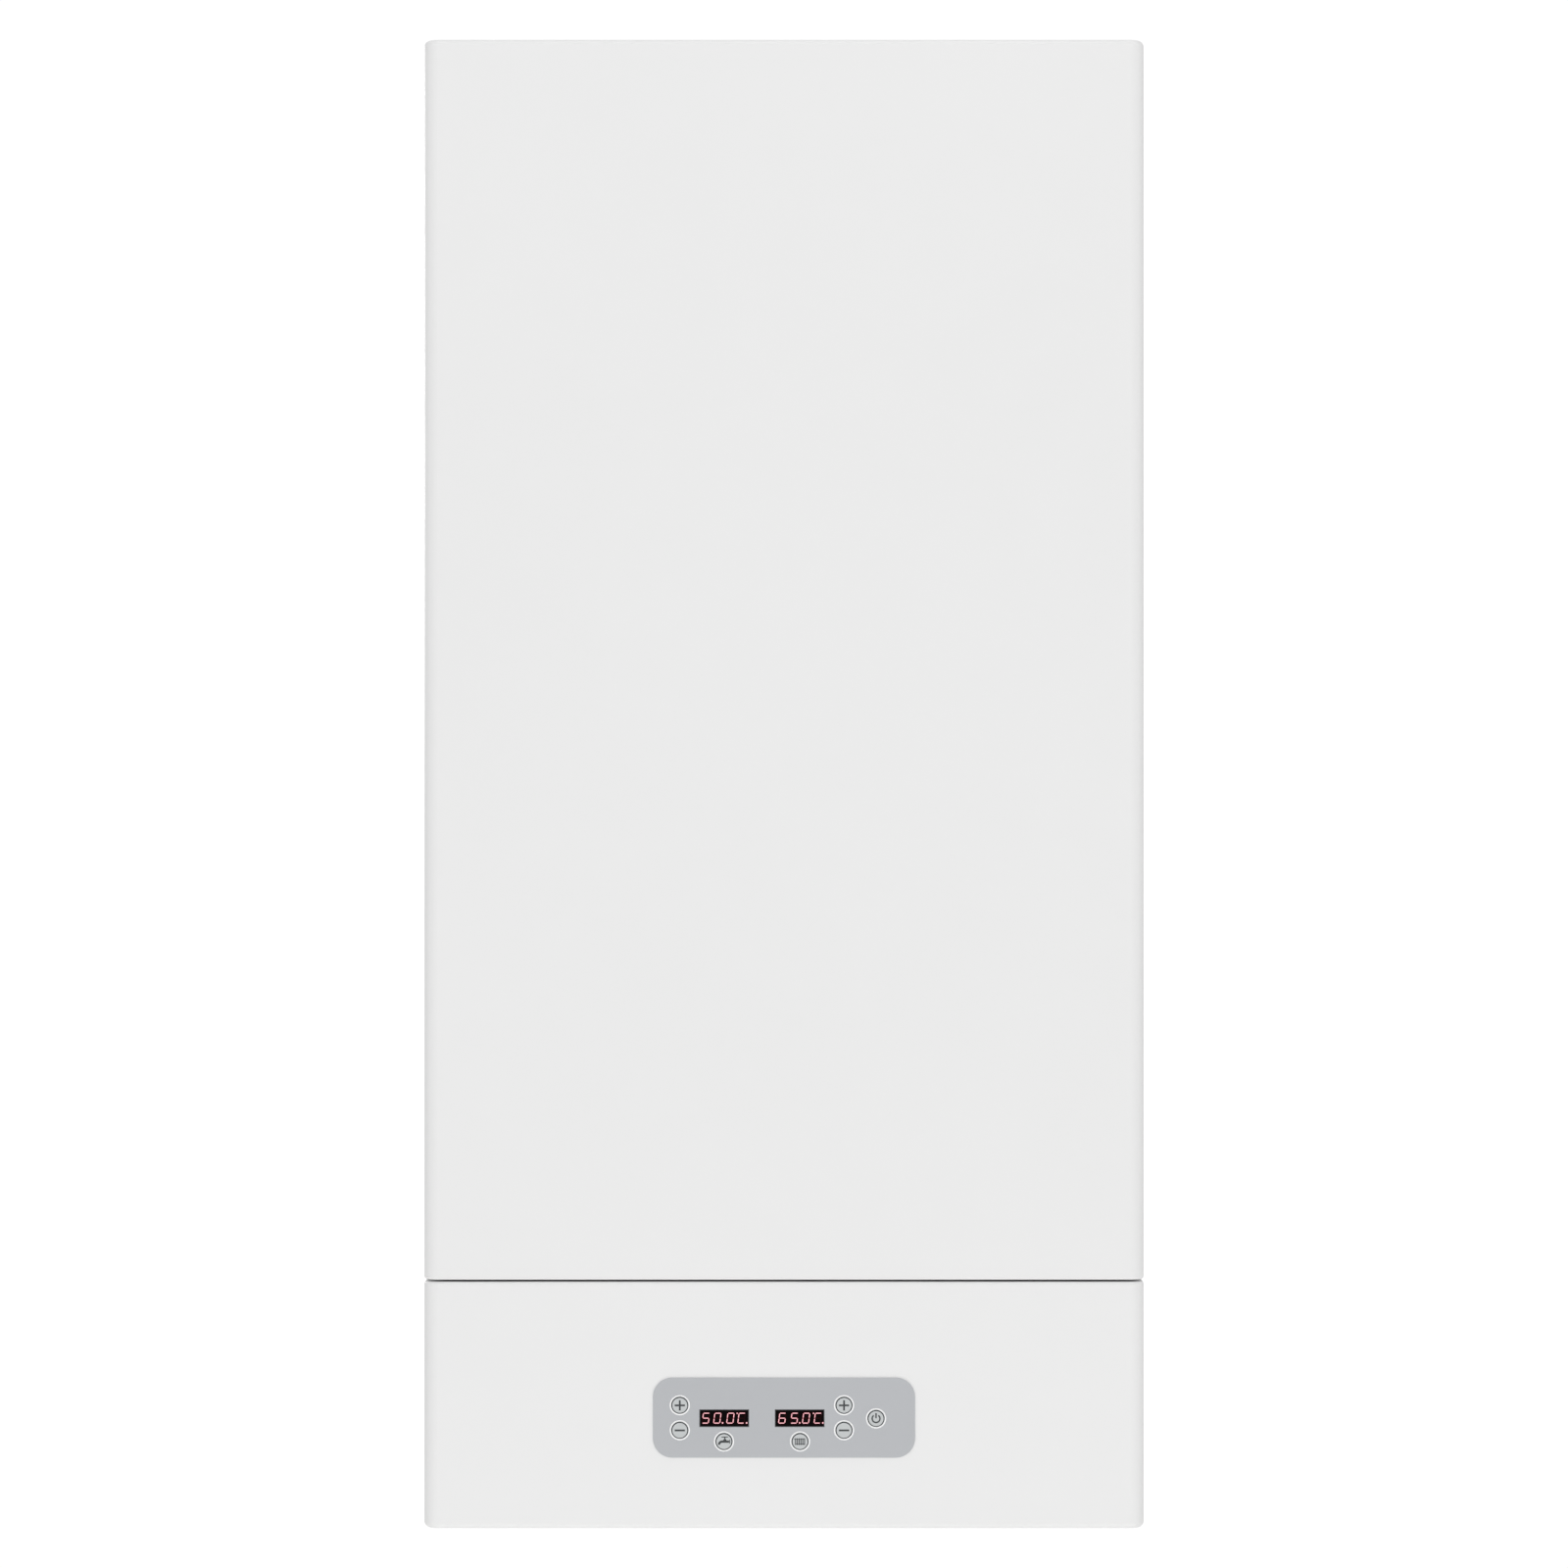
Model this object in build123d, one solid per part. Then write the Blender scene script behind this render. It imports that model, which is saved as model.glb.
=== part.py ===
from build123d import *
import math
import os

# A wall-hung electric combi boiler, in millimetres.
# Origin: the middle of the wall bracket's two fixing holes, on the wall.
# +X to the right seen from the front, +Y into the wall, +Z up. The front faces -Y.

os.makedirs("parts", exist_ok=True)

# ---------------------------------------------------------------- casing
CASE_W = 410.0            # width over the side panels
CASE_H = 847.0            # height
CASE_D = 320.0            # wall to front face
FIXING_DROP = 57.0        # casing top down to the fixing holes
SHEET = 1.0               # painted sheet
EDGE_R_SIDE = 8.0         # upright front edges
EDGE_R_END = 3.5          # edges round the top and the bottom
EDGE_R_SEAM = 1.6         # edges along the seam between cover and panel
CAP_D = 38.0              # depth of the front cover and of the control panel
SEAM_H = 141.0            # seam's middle above the casing's bottom
SEAM_GAP = 1.2            # open joint between the outer sheets
WALL_GAP = 1.0            # casing's rear edges to the wall
FLANGE_W = 14.0           # folded edges of the side panels
CAP_FLANGE_W = 12.0       # folded rear edges of the front cover and the control panel
SHEET_FIT = 0.2           # gap between sheets that slip into each other
TOP_LIP = 12.0            # turned-down front edge of the top panel
BASE_LIP = 20.0           # height of the bottom plate's front strip, plate included
BASE_T = 1.2              # bottom plate
PAN_OFF = 12.0            # wall to the rear face of the back frame's sheet
PAN_T = 1.2               # back frame's sheet

# casing screws, pan head
SCREW_R = 1.95
SCREW_HEAD_R = 3.6
SCREW_HEAD_H = 1.6
SCREW_L = 7.0
SCREW_PLAY = 0.15         # hole radius over screw radius
SCREW_INSET_X = 7.5       # screw axis to the casing's side
SCREW_INSET_Y = 42.0      # screw axis to the side panel's front and rear edges

# ---------------------------------------------------------------- wall bracket
BRACKET_W = 300.0
BRACKET_H = 60.0
BRACKET_T = 2.0
BRACKET_HOLES = 250.0     # fixing holes apart
BRACKET_HOLE_R = 4.5
HOOK_OFF = 6.0            # wall to the rear face of the bracket's upturned lip
HOOK_LIP = 12.0           # height of that lip
HOOK_PLAY = 0.5           # lip to the back frame's hook
HOOK_DEPTH = 9.0          # hook reaches down behind the lip
HOOK_T = 1.5

# ---------------------------------------------------------------- cover studs and clips
STUD_R = 2.2
STUD_BALL_R = 3.2
STUD_REACH = 7.0          # cover's rear edge to the ball's middle
STUD_INSET = 70.0         # studs from the cover's upper and lower edges
CLIP_W = 12.0
CLIP_H = 18.0
CLIP_D = 10.0
CLIP_PLAY = 0.35          # ball to clip
CLIP_SLOT = 2.0

# ---------------------------------------------------------------- control panel hinge
HINGE_IN = 27.0           # hinges in from the casing's sides
HINGE_INSET = 8.0         # panel's rear edge forward to the axis
HINGE_RISE = 3.5          # casing's bottom up to the axis
PIN_R = 1.75
PIN_PLAY = 0.05
PIN_HEAD_R = 2.3
PIN_HEAD_T = 1.0
EAR_T = 3.0
EAR_R = 3.4
LUG_T = 3.0
LUG_GAP = 0.3
LUG_HALF = 4.0
LUG_RISE = 3.5            # lug's top above the axis
EAR_FOOT_W = 18.0
EAR_FOOT_H = 15.0
NOTCH_PLAY = 0.6

# ---------------------------------------------------------------- keypad
PAD_W = 149.0
PAD_H = 45.4
PAD_R = 11.0
PAD_T = 0.6
PAD_MID_H = 63.4          # pad's middle above the casing's bottom
PAD_SEAT = 3.0            # pad lies this far onto the sheet
WINDOW_W = 28.3
WINDOW_H = 10.1
WINDOW_MID_H = 63.1
WINDOW_X_WATER = -34.0
WINDOW_X_HEAT = 8.9
CAP_R = 4.85              # button cap
CAP_FACE_R = 4.25
CAP_PROUD = 0.7           # cap's face in front of the pad
CAP_BEVEL = 0.35
CAP_PLAY = 0.1
CAP_COLLAR_R = 5.8
CAP_COLLAR_T = 1.2
CAP_COLLAR_GAP = 0.3      # collar to the pad's rear face
CAP_STEM_R = 2.2
BUTTON_TRAVEL = 0.65
SWITCH_GAP = 0.15         # pressed stem to the switch
BUTTON_X_WATER = -59.2
BUTTON_X_TAP = -34.1
BUTTON_X_RADIATOR = 9.1
BUTTON_X_HEAT = 34.1
BUTTON_X_POWER = 52.3
BUTTON_H_PLUS = 70.5
BUTTON_H_MINUS = 56.3
BUTTON_H_MODE = 49.9
BUTTON_H_POWER = 63.0

# display board and its housing
BOARD_T = 1.6
BOARD_W = 140.0
BOARD_H = 39.0
BOARD_BACK = 14.0         # front sheet's face back to the board's front
LED_PROUD = 0.2           # display's face in front of the sheet
LED_PLAY = 0.1
LED_BASE_W = 30.0
LED_BASE_H = 12.0
SWITCH_W = 6.0
SWITCH_BODY = 2.6
SWITCH_PLUNGER_R = 1.6
HOUSING_W = 160.0
HOUSING_H = 56.0
HOUSING_D = 22.0
HOUSING_T = 2.0
HOUSING_R = 6.0
HOUSING_EAR = 9.0
HOUSING_EAR_T = 2.0
HOUSING_SCREW_H = 20.0    # ears above and below the pad's middle
HOUSING_POST_R = 3.2
HOUSING_POST_L = 6.0
TAP_SCREW_R = 1.5
TAP_SCREW_L = 6.0
BOARD_POST_R = 2.5

# ---------------------------------------------------------------- pipe stubs under the casing
STUB_Y = -115.0           # row of stubs, from the wall
STUB_X_FLOW = -130.0      # heating flow
STUB_X_HOT = -65.0        # hot water out
STUB_X_DRAIN = 0.0        # safety valve's drain
STUB_X_COLD = 65.0        # cold water in
STUB_X_RETURN = 130.0     # heating return
STUB_BELOW = 18.0         # stubs below the casing's bottom
STUB_ABOVE = 40.0         # stubs above the casing's bottom
THREAD_34_R = 13.22       # G 3/4
THREAD_12_R = 10.48       # G 1/2
DRAIN_R = 7.5
STUB_WALL = 3.0
DRAIN_WALL = 1.0
STUB_PLAY = 0.6           # hole in the bottom plate
STUB_COLLAR = 3.0         # collar under the bottom plate, outside the thread
STUB_COLLAR_T = 3.0
NUT_T = 8.0
NUT_RIM = 4.5             # nut's flats outside the thread
NUT_PLAY = 0.04

# cable glands
GLAND_X_IN = 32.0         # gland axes in from the left side panel's face
GLAND_MAINS_BACK = 155.0  # gland axes back from the casing's front
GLAND_SIGNAL_BACK = 115.0
GLAND_MAINS_R = 12.4
GLAND_MAINS_BORE = 9.0
GLAND_SIGNAL_R = 7.9
GLAND_SIGNAL_BORE = 4.0
GLAND_RIM = 3.2           # hexagon outside the thread
GLAND_BELOW = 15.0
GLAND_DOME = 9.0
GLAND_NUT_T = 5.0
GLAND_ABOVE = 12.0

# ---------------------------------------------------------------- heating vessel
VESSEL_R = 82.0
VESSEL_DROP = 73.0        # vessel's top below the casing's top
VESSEL_WALL = 2.0
VESSEL_EDGE = 12.0
VESSEL_SIDE = 120.0       # axis to the casing's right side
SHELF_H = 362.0           # shelf above the casing's bottom
SHELF_T = 2.0
SHELF_HALF = 98.0         # shelf's half width round the vessel's axis
SHELF_LIP = 12.0
SHELF_BACK = 26.0
SHELF_FRONT = 66.0        # shelf forward of the vessel's axis
JACKET_GAP = 0.3
JACKET_T = 11.7
JACKET_LOW = 8.0          # jacket's lower edge above the vessel's
JACKET_TOP = 14.0         # jacket's upper edge below the vessel's
NOZZLE_OUT = 4.0          # hot nozzle beyond the jacket
NOZZLE_DROP = 40.0        # hot nozzle below the vessel's top
NOZZLE_PLAY = 1.0
RING_R = 50.0             # flange at the vessel's top
RING_H = 6.0
RING_BORE = 36.0
COVER_H = 8.0             # heater's flange
BOLT_RING_R = 43.0
BOLT_COUNT = 6
BOLT_R = 3.0
BOLT_PLAY = 0.2
BOLT_HEAD_R = 5.5
BOLT_HEAD_H = 4.0
ROD_R = 4.2               # heating rods
ROD_PLAY = 0.05
ROD_LEG = 11.0            # rods' legs from the middle line
ROD_PITCH = 22.0
ROD_COUNT = 3
ROD_CLEAR = 80.0          # rods' lowest point above the vessel's bottom
ROD_UP = 12.0             # terminals above the flange
VENT_RADIUS = 61.0        # air vent from the vessel's axis
VENT_ANGLE = -60.0
VENT_NECK_R = 7.5
VENT_NECK_L = 18.0
VENT_R = 13.5
VENT_L = 30.0
VENT_CAP_R = 5.0
VENT_CAP_L = 9.0
VENT_PIN_R = 2.4
VENT_PIN_L = 5.0
VENT_PLAY = 0.06

# pipes
PIPE_R = 11.0             # heating circuit
PIPE_WALL = 1.0
PIPE_BEND = 24.0
SMALL_R = 7.5             # water and branch pipes
SMALL_BEND = 22.0
HOT_OUT = 26.0            # hot pipe's axis beyond the nozzle's end
CROSS_H = 338.0           # heating pipes cross below the shelf at this height
CROSS_BEND = 20.0

# ---------------------------------------------------------------- expansion vessel
EXP_R = 150.0
EXP_D = 75.0
EXP_EDGE = 24.0
EXP_WALL = 1.5
EXP_RIM = 4.0             # seam ring outside the shell
EXP_RIM_T = 5.0
EXP_DROP = 207.0          # middle below the casing's top
EXP_X = 0.0
EXP_NECK_X = 125.0        # hose connection on the lower rim
EXP_NECK_R = 8.0
EXP_NECK_L = 16.0
SKIN_T = 1.8              # rubber diaphragm
SKIN_PLAY = 0.15
SKIN_SINK = 14.0
SKIN_FLAT_R = 100.0
SKIN_SLOPE_R = 128.0
HOSE_R = 6.5
HOSE_BORE = 4.0
HOSE_SWAY = 12.0          # hose bows this far to the right

# ---------------------------------------------------------------- pump on the return
PUMP_H = 250.0            # middle above the casing's bottom
PUMP_PORTS = 130.0        # port face to port face
PUMP_R = 42.0
PUMP_D = 50.0
PUMP_BACK = 25.0          # volute's rear behind the stub row
PUMP_WALL = 10.0
PUMP_CAVITY_R = 30.0
PUMP_NECK_R = 16.0
PUMP_BORE = 10.0
PUMP_DECK = 5.0           # wall between volute and motor
SHAFT_R = 5.0
SHAFT_PLAY = 0.06
IMPELLER_R = 26.0
IMPELLER_T = 12.0
IMPELLER_HUB = 8.0
BLADE_COUNT = 6
BLADE_T = 2.0
MOTOR_R = 44.0
MOTOR_L = 80.0
MOTOR_END = 7.0
MOTOR_BORE = 24.0
ROTOR_GAP = 1.5
FIN_COUNT = 24
FIN_DEPTH = 2.0
FIN_W = 5.0
PUMP_BOX_W = 72.0
PUMP_BOX_H = 62.0
PUMP_BOX_D = 22.0
PUMP_BOX_R = 6.0
DIAL_R = 12.0
DIAL_T = 10.0
DIAL_STEM_R = 3.0
DIAL_STEM_L = 7.0
DIAL_GAP = 0.3
DIAL_DROP = 10.0
BRANCH_H = 165.0          # branch pipes above the casing's bottom
TEE_LOW = 17.0            # tee below the branch
TEE_SIDE = 18.0           # tee's side port from the axis
SAFETY_PORT_UP = 12.0     # safety port above the pump's middle
SAFETY_PORT_OUT = 4.0

# ---------------------------------------------------------------- diverter valve on the flow
DIV_H = 190.0             # chamber's middle above the casing's bottom
DIV_R = 20.0
DIV_TUBE_R = 14.0
DIV_LOW = 42.0
DIV_UP = 42.0
DIV_BACK = 22.0
DIV_FRONT = 28.0
DIV_CAVITY_R = 15.5
DIV_NECK = 5.0
SPINDLE_R = 4.0
SPINDLE_PLAY = 0.06
SPINDLE_L = 35.0
SPINDLE_OUT = 10.0        # spindle in front of the chamber
SPINDLE_TRAVEL = 8.0
SEAL_R = 13.0
SEAL_T = 6.0
SEAL_SET = 11.0           # seal's front behind the chamber's front
ACT_W = 46.0
ACT_H = 54.0
ACT_D = 50.0
ACT_R = 4.0
ACT_BORE = 5.0

# ---------------------------------------------------------------- plate heat exchanger
EX_L = 190.0
EX_H = 74.0
EX_D = 52.0
EX_BACK = 30.0            # rear face from the wall
EX_EDGE = 12.0
EX_PITCH = 4.0
EX_GROOVE = 1.4
EX_GROOVE_DEEP = 1.6
EX_END = 4.0
EX_ROWS = 40.0            # port rows apart
EX_PORT_R = 9.0
EX_PORT_L = 6.0
EX_PORT_DEEP = 16.0
POST_X = 45.0             # brackets on the back frame
POST_W = 26.0
POST_H = 60.0

# ---------------------------------------------------------------- safety valve
SAFETY_R = 15.0
SAFETY_REAR = 18.0
SAFETY_FRONT = 20.0
SAFETY_ARM = 24.0
SAFETY_ARM_R = 9.0
SAFETY_DOWN = 26.0
BONNET_R = 12.0
BONNET_L = 24.0
SAFETY_KNOB_R = 16.0
SAFETY_KNOB_L = 18.0
SAFETY_KNOB_GAP = 0.4
SAFETY_STEM_R = 4.0
SAFETY_STEM_L = 12.0
KNOB_GRIPS = 12
KNOB_GRIP_R = 2.2

# ---------------------------------------------------------------- flow sensor on the cold inlet
SENSOR_L = 50.0
SENSOR_R = 13.0
SENSOR_BORE = 9.0
SENSOR_BOX_W = 16.0
SENSOR_BOX_D = 12.0
SENSOR_BOX_H = 24.0
TURBINE_R = 8.2
TURBINE_L = 10.0
TURBINE_HUB = 3.0
TURBINE_BLADES = 4
AXLE_R = 1.2
AXLE_PLAY = 0.06
AXLE_L = 24.0
SPIDER_T = 4.0
SPIDER_HUB = 3.2
SPIDER_ARM = 1.6

# ---------------------------------------------------------------- electrics
ELEC_SIDE = 6.0           # plate to the left side panel
ELEC_PIPE_GAP = 16.0      # plate to the hot pipe
ELEC_Y = -150.0           # plate's rear face
ELEC_T = 1.5
ELEC_LOW = 385.0          # plate's lower edge above the casing's bottom
ELEC_TOP = 47.0           # plate's upper edge below the casing's top
ELEC_LIP = 14.0
MCB_MARGIN = 8.0          # main board to the plate's edges
MCB_LOW = 478.0
MCB_CON_GAP = 22.0        # main board to the contactor above it
MCB_POST = 10.0
MCB_POST_R = 3.2
MCB_POST_IN = 8.0
RELAY_COUNT = 5
CON_W = 54.0
CON_H = 82.0
CON_D = 70.0
CON_TOP_IN = 22.0         # contactor's top below the plate's upper edge
CON_X_IN = 36.0           # contactor's left face to the plate's left edge
CON_PITCH = 16.0
CON_TERM_R = 4.0
RAIL_H = 35.0
RAIL_D = 7.0
ARM_W = 22.0
ARM_H = 14.0
ARM_D = 14.0
ARM_OUT = 2.0
ARM_GAP = 0.3
ARM_TRAVEL = 5.0
TERM_W = 74.0
TERM_H = 22.0
TERM_D = 24.0
TERM_LOW = 398.0
TERM_WAYS = 5
STAT_R = 15.0
STAT_D = 16.0
STAT_LOW = 450.0
STAT_X_IN = 34.0
STAT_NECK_R = 6.0
STAT_NECK_L = 8.0
RESET_R = 3.0
RESET_L = 14.0
RESET_OUT = 4.0
RESET_PLAY = 0.06
RESET_TRAVEL = 2.0
LEAD_R = 2.4
LEAD_BEND = 12.0
LEAD_DROP = 31.0          # lowest lead below the casing's top
LEAD_STEP = 7.0
LEAD_SET = 16.0           # leads enter this far behind the contactor's face

# parts on the main board
RELAY_W = 16.0
RELAY_D = 18.0
RELAY_H = 20.0
RELAY_PITCH = 21.0
CORE_W = 40.0
CORE_D = 28.0
CORE_H = 34.0
CAN_R = 6.5
CAN_L = 20.0
CAN_PITCH = 18.0
PLUG_COUNT = 6
PLUG_W = 13.0
PLUG_D = 11.0
PLUG_H = 9.0
PLUG_PITCH = 17.0
BOARD_EDGE = 7.0          # relays and plugs to the board's ends

# ================================================================ places that follow
HALF_W = CASE_W / 2
TOP = FIXING_DROP
BOTTOM = TOP - CASE_H
FRONT = -CASE_D
CAP_REAR = FRONT + CAP_D
BODY_FRONT = CAP_REAR + SEAM_GAP
BODY_REAR = -WALL_GAP
SEAM_LOW = BOTTOM + SEAM_H - SEAM_GAP / 2
SEAM_HIGH = BOTTOM + SEAM_H + SEAM_GAP / 2
SIDE_IN = HALF_W - SHEET
PAN_FACE = -(PAN_OFF + PAN_T)
BASE_LOW = BOTTOM + SHEET
BASE_TOP = BASE_LOW + BASE_T
PAD_Z = BOTTOM + PAD_MID_H
SHEET_BACK = FRONT + SHEET
HINGE_X = HALF_W - HINGE_IN
HINGE_Y = CAP_REAR - HINGE_INSET
HINGE_Z = BOTTOM + HINGE_RISE
VESSEL_X = HALF_W - VESSEL_SIDE
EXP_FRONT = PAN_FACE - EXP_D
VESSEL_Y = (EXP_FRONT + SHEET_BACK) / 2
SHELF_Z = BOTTOM + SHELF_H
VESSEL_LOW = SHELF_Z + SHELF_T
VESSEL_TOP = TOP - VESSEL_DROP
JACKET_R = VESSEL_R + JACKET_GAP + JACKET_T
NOZZLE_X = VESSEL_X - JACKET_R - NOZZLE_OUT
NOZZLE_Z = VESSEL_TOP - NOZZLE_DROP
HOT_X = NOZZLE_X - HOT_OUT
CROSS_Z = BOTTOM + CROSS_H
RING_TOP = VESSEL_TOP + RING_H
COVER_TOP = RING_TOP + COVER_H
ROD_TOP = COVER_TOP + ROD_UP
EXP_Z = TOP - EXP_DROP
EXP_Y = PAN_FACE - EXP_D / 2
PUMP_Z = BOTTOM + PUMP_H
PUMP_REAR = STUB_Y + PUMP_BACK
PUMP_FRONT = PUMP_REAR - PUMP_D
MOTOR_FRONT = PUMP_FRONT - MOTOR_L
PUMP_BOX_FRONT = MOTOR_FRONT - PUMP_BOX_D
PUMP_OUT_Z = PUMP_Z + PUMP_PORTS / 2
BRANCH_Z = BOTTOM + BRANCH_H
DIV_Z = BOTTOM + DIV_H
DIV_FACE = STUB_Y - DIV_FRONT
SAFETY_Z = PUMP_Z + SAFETY_PORT_UP
EX_REAR = -EX_BACK
EX_FRONT = EX_REAR - EX_D
EX_PORT_Y = EX_FRONT - EX_PORT_L
EX_HIGH_Z = BRANCH_Z
EX_LOW_Z = EX_HIGH_Z - EX_ROWS
EX_Z = (EX_HIGH_Z + EX_LOW_Z) / 2
STUB_TOP = BOTTOM + STUB_ABOVE
SENSOR_LOW = STUB_TOP
ELEC_LEFT = -(SIDE_IN - ELEC_SIDE)
ELEC_RIGHT = HOT_X - PIPE_R - ELEC_PIPE_GAP
ELEC_FACE = ELEC_Y - ELEC_T
ELEC_Z0 = BOTTOM + ELEC_LOW
ELEC_Z1 = TOP - ELEC_TOP
GLAND_X = -(HALF_W - GLAND_X_IN)


# ================================================================ helpers
def block(x0, x1, y0, y1, z0, z1):
    """Box between two corners."""
    middle = Pos((x0 + x1) / 2, (y0 + y1) / 2, (z0 + z1) / 2)
    return middle * Box(abs(x1 - x0), abs(y1 - y0), abs(z1 - z0))


def rod_z(x, y, z0, z1, radius):
    """Upright cylinder."""
    return Pos(x, y, (z0 + z1) / 2) * Cylinder(radius, abs(z1 - z0))


def rod_y(x, z, y0, y1, radius):
    """Cylinder from front to back."""
    return Pos(x, (y0 + y1) / 2, z) * Rot(90, 0, 0) * Cylinder(radius, abs(y1 - y0))


def rod_x(y, z, x0, x1, radius):
    """Cylinder from left to right."""
    return Pos((x0 + x1) / 2, y, z) * Rot(0, 90, 0) * Cylinder(radius, abs(x1 - x0))


def hexagon_z(x, y, z0, z1, flats):
    """Upright hexagonal prism; flats is half the width across flats."""
    face = Pos(x, y, min(z0, z1)) * RegularPolygon(flats, 6, major_radius=False)
    return extrude(face, amount=abs(z1 - z0))


def soft_block(x0, x1, y0, y1, z0, z1, axis, radius):
    """Box with the edges along one axis rounded."""
    form = block(x0, x1, y0, y1, z0, z1)
    return fillet(form.edges().filter_by(axis), radius)


def round_edges(form, radius):
    """Round the circular edges of a turned form."""
    return fillet(form.edges().filter_by(GeomType.CIRCLE), radius)


def tube_path(points, bend):
    """Straight runs joined by tangent arcs."""
    return FilletPolyline(*points, radius=bend)


def pipe(points, bend, radius, wall):
    """Hollow pipe along straight runs and bends."""
    path = tube_path(points, bend)
    start = Plane(origin=path @ 0, z_dir=path % 0)
    ring = Circle(radius) - Circle(radius - wall)
    return sweep(start * ring, path=path)


def cable(points, bend, radius):
    """Solid round cable or hose."""
    path = tube_path(points, bend)
    start = Plane(origin=path @ 0, z_dir=path % 0)
    return sweep(start * Circle(radius), path=path)


def around(count, radius, start=0.0):
    """Places on a circle."""
    turns = [math.radians(start + 360 * i / count) for i in range(count)]
    return [(radius * math.cos(a), radius * math.sin(a)) for a in turns]


def keep(name, shape):
    export_step(shape, "parts/" + name + ".step")


def group(solids):
    return Compound(children=list(solids))


# ================================================================ casing
def front_form(x0, x1, y0, y1, z0, z1, side, low, high):
    """Block with its upright front edges and its two end loops rounded."""
    form = block(x0, x1, y0, y1, z0, z1)
    form = fillet(form.edges().filter_by(Axis.Z).group_by(Axis.Y)[0], side)
    under = form.faces().sort_by(Axis.Z)[0].edges()
    over = form.faces().sort_by(Axis.Z)[-1].edges()
    form = fillet([e for e in under if e.center().Y < y1 - 0.01], low)
    over = form.faces().sort_by(Axis.Z)[-1].edges()
    return fillet([e for e in over if e.center().Y < y1 - 0.01], high)


def tray(z0, z1, low, high):
    """Shallow sheet tray, open to the rear, with folded edges left and right."""
    thin = 0.4
    outer = front_form(-HALF_W, HALF_W, FRONT, CAP_REAR, z0, z1, EDGE_R_SIDE, low, high)
    inner = front_form(
        -SIDE_IN, SIDE_IN, SHEET_BACK, CAP_REAR - SHEET, z0 + SHEET, z1 - SHEET,
        EDGE_R_SIDE - SHEET, max(low - SHEET, thin), max(high - SHEET, thin),
    )
    reach = HALF_W - CAP_FLANGE_W
    mouth = block(-reach, reach, CAP_REAR - 2 * SHEET, CAP_REAR + SHEET, z0 + SHEET, z1 - SHEET)
    return outer - inner - mouth


STUD_X = HALF_W - SHEET - CAP_FLANGE_W / 2
STUD_Z = (SEAM_HIGH + STUD_INSET, TOP - STUD_INSET)
STUD_PLACES = [(side * STUD_X, z) for side in (-1, 1) for z in STUD_Z]
BALL_Y = CAP_REAR + STUD_REACH


def front_cover():
    form = tray(SEAM_HIGH, TOP, EDGE_R_SEAM, EDGE_R_END)
    for x, z in STUD_PLACES:
        form += rod_y(x, z, CAP_REAR - SHEET, BALL_Y, STUD_R)
        form += Pos(x, BALL_Y, z) * Sphere(STUD_BALL_R)
    return form


def cover_clips():
    """Sprung sockets behind the side panels' front edges."""
    clips = []
    y0 = BODY_FRONT + SHEET
    for x, z in STUD_PLACES:
        clip = block(x - CLIP_W / 2, x + CLIP_W / 2, y0, y0 + CLIP_D, z - CLIP_H / 2, z + CLIP_H / 2)
        clip -= rod_y(x, z, y0 - 1, y0 + CLIP_D + 1, STUD_BALL_R + CLIP_PLAY)
        slot = block(x - CLIP_SLOT / 2, x + CLIP_SLOT / 2, y0 - 1, y0 + CLIP_D + 1, z, z + CLIP_H)
        clips.append(clip - slot)
    return group(clips)


TOP_SCREW_Y = (BODY_FRONT + SCREW_INSET_Y, BODY_REAR - SCREW_INSET_Y)
TOP_SCREW_X = HALF_W - SCREW_INSET_X
SCREW_PLACES = [(side * TOP_SCREW_X, y) for side in (-1, 1) for y in TOP_SCREW_Y]


def screw_holes(z):
    """Clearance holes for the casing screws near one level."""
    return [rod_z(x, y, z - 5, z + 5, SCREW_R + SCREW_PLAY) for x, y in SCREW_PLACES]


def right_side_panel():
    form = block(HALF_W - FLANGE_W, HALF_W, BODY_FRONT, BODY_REAR, BOTTOM, TOP)
    form = fillet(form.edges().filter_by(Axis.Y).group_by(Axis.X)[-1], EDGE_R_END)
    hollow = block(
        HALF_W - FLANGE_W - 1, SIDE_IN, BODY_FRONT + SHEET, BODY_REAR + 1,
        BOTTOM + SHEET, TOP - SHEET,
    )
    hollow = fillet(hollow.edges().filter_by(Axis.Y).group_by(Axis.X)[-1], EDGE_R_END - SHEET)
    form -= hollow
    for x, z in STUD_PLACES:
        form -= rod_y(x, z, BODY_FRONT - 1, BODY_FRONT + SHEET + 1, STUD_BALL_R + CLIP_PLAY)
    for hole in screw_holes(TOP) + screw_holes(BOTTOM):
        form -= hole
    return form


def top_panel():
    reach = SIDE_IN - SHEET_FIT
    y0 = BODY_FRONT + SHEET + SHEET_FIT
    z1 = TOP - SHEET
    form = block(-reach, reach, y0, BODY_REAR, z1 - SHEET, z1)
    lip = HALF_W - FLANGE_W - SHEET_FIT
    form += block(-lip, lip, y0, y0 + SHEET, z1 - TOP_LIP, z1)
    for hole in screw_holes(TOP):
        form -= hole
    # the sheet's corners clear the side panels' folds
    for side in (-1, 1):
        corner = block(side * reach, side * (reach - EDGE_R_END), y0 - 1, BODY_REAR + 1, z1 - 5, z1 + 1)
        trim = corner - rod_y(
            side * (HALF_W - EDGE_R_END), TOP - EDGE_R_END, y0 - 2, BODY_REAR + 2,
            EDGE_R_END - SHEET - 0.05,
        )
        wedge = trim & block(
            side * (HALF_W - EDGE_R_END), side * (HALF_W + 1), y0 - 2, BODY_REAR + 2,
            TOP - EDGE_R_END, TOP,
        )
        form -= wedge
    return form


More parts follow.
